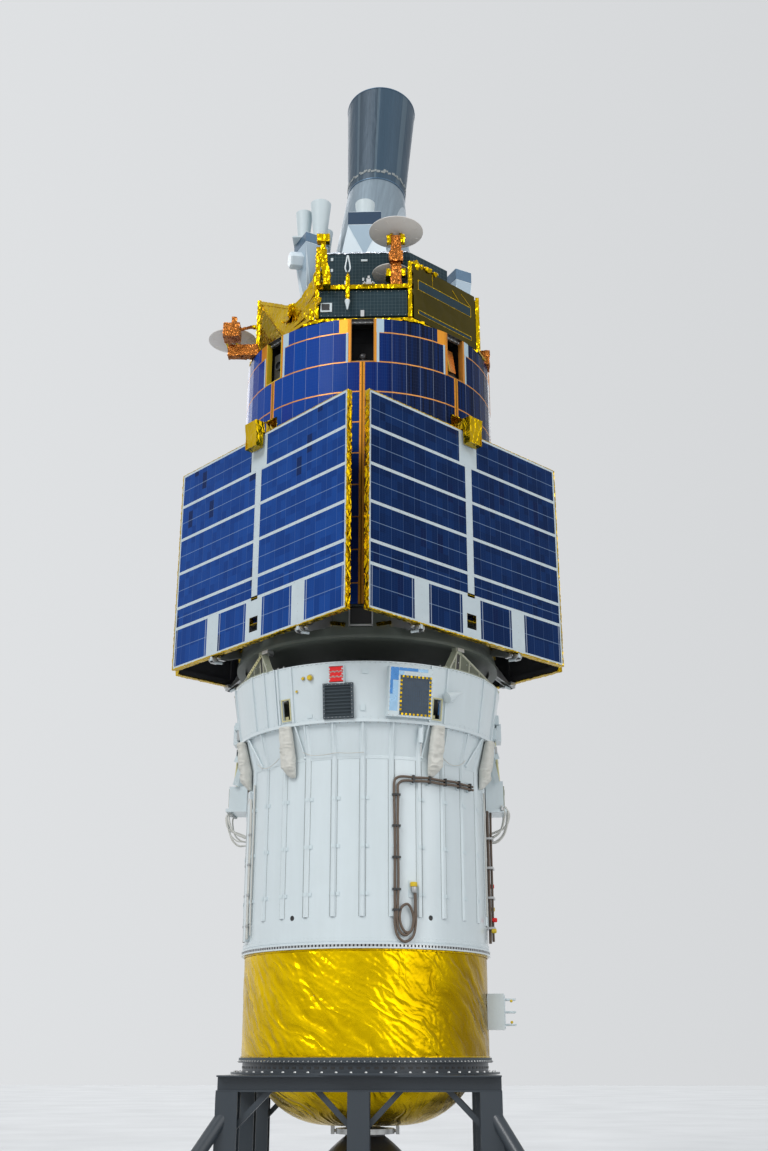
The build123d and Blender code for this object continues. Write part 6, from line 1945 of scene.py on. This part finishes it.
def makeMastFoil():
    # collar and pads on the front mast, and the foil mast's own bunched wrapping
    pads = []
    for across, y, z, width, thick, height in (
        (0.285, -1.31, 10.345, 0.045, 0.06, 0.10), (0.445, -1.31, 10.345, 0.045, 0.06, 0.10),
        (0.280, -1.315, 9.90, 0.05, 0.05, 0.09), (0.450, -1.315, 9.90, 0.05, 0.05, 0.09),
    ):
        path = [(across, y, z - height / 2), (across, y, z + height / 2)]
        pads.append(foilBar(path, thick, width, (1.0, 0, 0), 0.04, 0.006, 0.011))
    makePiece("mast_pads", pads, "gold", sharp=22)
    path = [(0.365, -1.325, 10.04), (0.365, -1.325, 10.17)]
    collar = foilBar(path, 0.07, 0.155, (1.0, 0, 0), 0.045, 0.007, 0.011)
    makePiece("mast_collar", [collar], "copper", sharp=22)
    x, y = -0.455, -1.379
    wraps = [
        foilBar([(x - 0.050, y, 9.702), (x - 0.055, y, 10.20)], 0.07, 0.045, (1.0, 0, 0), 0.05, 0.007, 0.012),
        foilBar([(x + 0.048, y, 9.702), (x + 0.030, y, 9.93)], 0.09, 0.080, (1.0, 0, 0), 0.05, 0.009, 0.012),
        foilBar([(x + 0.020, y, 9.90), (x + 0.002, y, 10.16)], 0.09, 0.075, (1.0, 0, 0), 0.05, 0.009, 0.012),
        foilBar([(x, y, 10.13), (x, y, 10.285)], 0.05, 0.055, (1.0, 0, 0), 0.04, 0.005, 0.011),
        foilBar([(x, y, 10.275), (x, y, 10.372)], 0.085, 0.145, (1.0, 0, 0), 0.05, 0.005, 0.012),
        lump((x - 0.030, y, 10.08), (0.05, 0.04, 0.05), 0.3),
        lump((x + 0.050, y, 9.83), (0.035, 0.04, 0.06), 1.0),
    ]
    makePiece("foil_mast_wrap", wraps, "gold", sharp=22, replaced=("foil_mast",))


def makeDishFittings():
    # foil pads under each dish, beside its hub
    hubs = {
        "upper_dish": (0.365, -1.17, 10.485),
        "lower_dish": (0.31, -1.045, 10.015),
        "left_dish": (-1.61, -0.33, 9.595),
    }
    for body, (x, y, z) in hubs.items():
        pads = []
        for across in (x - 0.055, x + 0.055):
            path = [(across, y - 0.06, z), (across, y + 0.06, z)]
            pads.append(foilBar(path, 0.030, 0.030, upright, 0.03, 0.004, 0.010))
        makePiece(body + "_pads", pads, "gold", body, sharp=22)


def makeTelescopeRings():
    # lip, steel rings and pale tabs near the barrel's foot
    lean = {"back": 10.0, "right": 1.9, "foot": (0.0, 0.06, 10.1)}
    # distance along the axis and radius at the barrel's foot and mouth
    barrel = {"low": 2.11, "lowRadius": 0.376, "high": 3.75, "highRadius": 0.458}
    lace = {"count": 96, "reach": 2.245, "uneven": 0.020, "size": 0.010, "sizeMore": 0.006}
    axis = unit(np.array([math.tan(math.radians(lean["right"])), math.tan(math.radians(lean["back"])), 1.0]))
    foot = np.array(lean["foot"])

    def wall(reach):
        share = (reach - barrel["low"]) / (barrel["high"] - barrel["low"])
        return barrel["lowRadius"] + (barrel["highRadius"] - barrel["lowRadius"]) * share

    def ring(low, high, out):
        a, b = wall(low), wall(high)
        return lathe([(a - 0.001, low), (a + out, low), (b + out, high), (b - 0.001, high)], foot, axis, 96)

    makePiece("barrel_rings", [ring(2.105, 2.122, 0.004), ring(3.738, 3.750, 0.004)], "bandSteel")
    # pale tabs of uneven height where the barrel's inner cloth is laced
    across = unit(np.cross(axis, (0, 1.0, 0)))
    forward = np.cross(axis, across)
    count = lace["count"]
    chance = lattice[:3].reshape(3, -1)[:, :count, None]
    turn = (np.arange(count)[:, None] + 0.35 * chance[0]) * 2 * math.pi / count
    out = across * np.cos(turn) + forward * np.sin(turn)
    reach = lace["reach"] + lace["uneven"] * chance[1]
    size = lace["size"] + lace["sizeMore"] * np.abs(chance[2])
    centre = foot + axis * reach + out * (wall(reach) + 0.0015)
    tabs = boxes(centre, np.cross(axis, out) * size, axis[None] * size * 1.5, out * 0.0012)
    makePiece("barrel_lace", [tabs], "seamGrey")


makeSlotFrames()
makeWallFittings()
makeRedCover()
makeWallPanels()
makeAdapterFittings()
makeTrussWebs()
makeAftOpening()
makeWallBars()
makeFlareWires()
makeServiceBox()
print("equipment section and adapter fittings made")
makePaddleEdges()
makeLatchBoxes()
makeHingeFittings()
makeDrumFittings()
print("paddle and drum fittings made")
makeFoilWraps()
makeLooseFoil()
makeGussetSheets()
makeFrontDeck()
makeChamferStrips()
makeSensorSkins()
makeMastFoil()
makeDishFittings()
makeTelescopeRings()
print("deck pieces made")


# Studio: pale floor, soft lamps, plain backdrop

class Backdrop(Finish):
    # the world's own nodes
    def __init__(self, world):
        world.use_nodes = True
        self.tree = world.node_tree
        self.shader = self.tree.nodes["Background"]
        self.material = None


def makeStudio():
    floor = {"size": 160.0, "colour": (0.74, 0.76, 0.78)}
    bpy.ops.mesh.primitive_plane_add(size=floor["size"])
    plane = bpy.context.object
    plane.name = "floor"
    plane.data.materials.append(makePlain("floorPaint", floor["colour"], 0.7, 0.0, 0.4))
    # name, azimuth, elevation, strength, softness in degrees
    lamps = [("keyLamp", -35, 38, 1.5, 26), ("fillLamp", 48, 20, 0.8, 50), ("backLamp", 190, 35, 0.9, 50)]
    for name, azimuth, elevation, strength, softness in lamps:
        data = bpy.data.lights.new(name, "SUN")
        data.energy = strength
        data.angle = math.radians(softness)
        lamp = bpy.data.objects.new(name, data)
        bpy.context.scene.collection.objects.link(lamp)
        a, e = math.radians(azimuth), math.radians(elevation)
        towards = Vector((math.sin(a) * math.cos(e), -math.cos(a) * math.cos(e), math.sin(e)))
        lamp.rotation_euler = towards.to_track_quat("Z", "Y").to_euler()
    # the camera and mirrors see a bright backdrop that falls off from left to right, the rest gets less
    backdrop = {"left": 0.84, "right": 0.62, "unseen": 0.42, "colour": (0.96, 0.98, 1.0)}
    world = bpy.data.worlds.new("studio")
    bpy.context.scene.world = world
    f = Backdrop(world)
    kinds = ("Camera", "Glossy", "Transmission")
    camera, glossy, clear = (f.node("ShaderNodeLightPath", {}, {}, "Is " + kind + " Ray") for kind in kinds)
    seen = f.maths("MINIMUM", camera + glossy + clear, 1.0)
    across = f.split(f.node("ShaderNodeTexCoord", {}, {}, "Generated"))[0]
    span = {"From Min": -0.9, "From Max": 0.9, "To Min": backdrop["left"], "To Max": backdrop["right"]}
    side = f.node("ShaderNodeMapRange", {}, {"Value": across, **span})
    level = f.node("ShaderNodeMix", {"data_type": "FLOAT"}, {0: seen, 2: backdrop["unseen"], 3: side})
    f.done(Color=backdrop["colour"], Strength=level)


def makeCamera():
    shot = {
        "azimuth": 2.764,
        "distance": 13.851,
        "height": 1.60,
        "heading": 2.0,
        "pitch": 20.44,
        "lens": 1300 * 36 / 1151,
    }
    data = bpy.data.cameras.new("camera")
    data.sensor_fit = "AUTO"
    data.sensor_width = 36.0
    data.lens = shot["lens"]
    data.clip_end = 200.0
    camera = bpy.data.objects.new("camera", data)
    bpy.context.scene.collection.objects.link(camera)
    a = math.radians(shot["azimuth"])
    camera.location = (shot["distance"] * math.sin(a), -shot["distance"] * math.cos(a), shot["height"])
    camera.rotation_euler = (math.radians(90 + shot["pitch"]), 0.0, math.radians(shot["heading"]))
    bpy.context.scene.camera = camera


makeStudio()
makeCamera()
bpy.context.scene.view_settings.view_transform = "Standard"
print("studio and camera made")
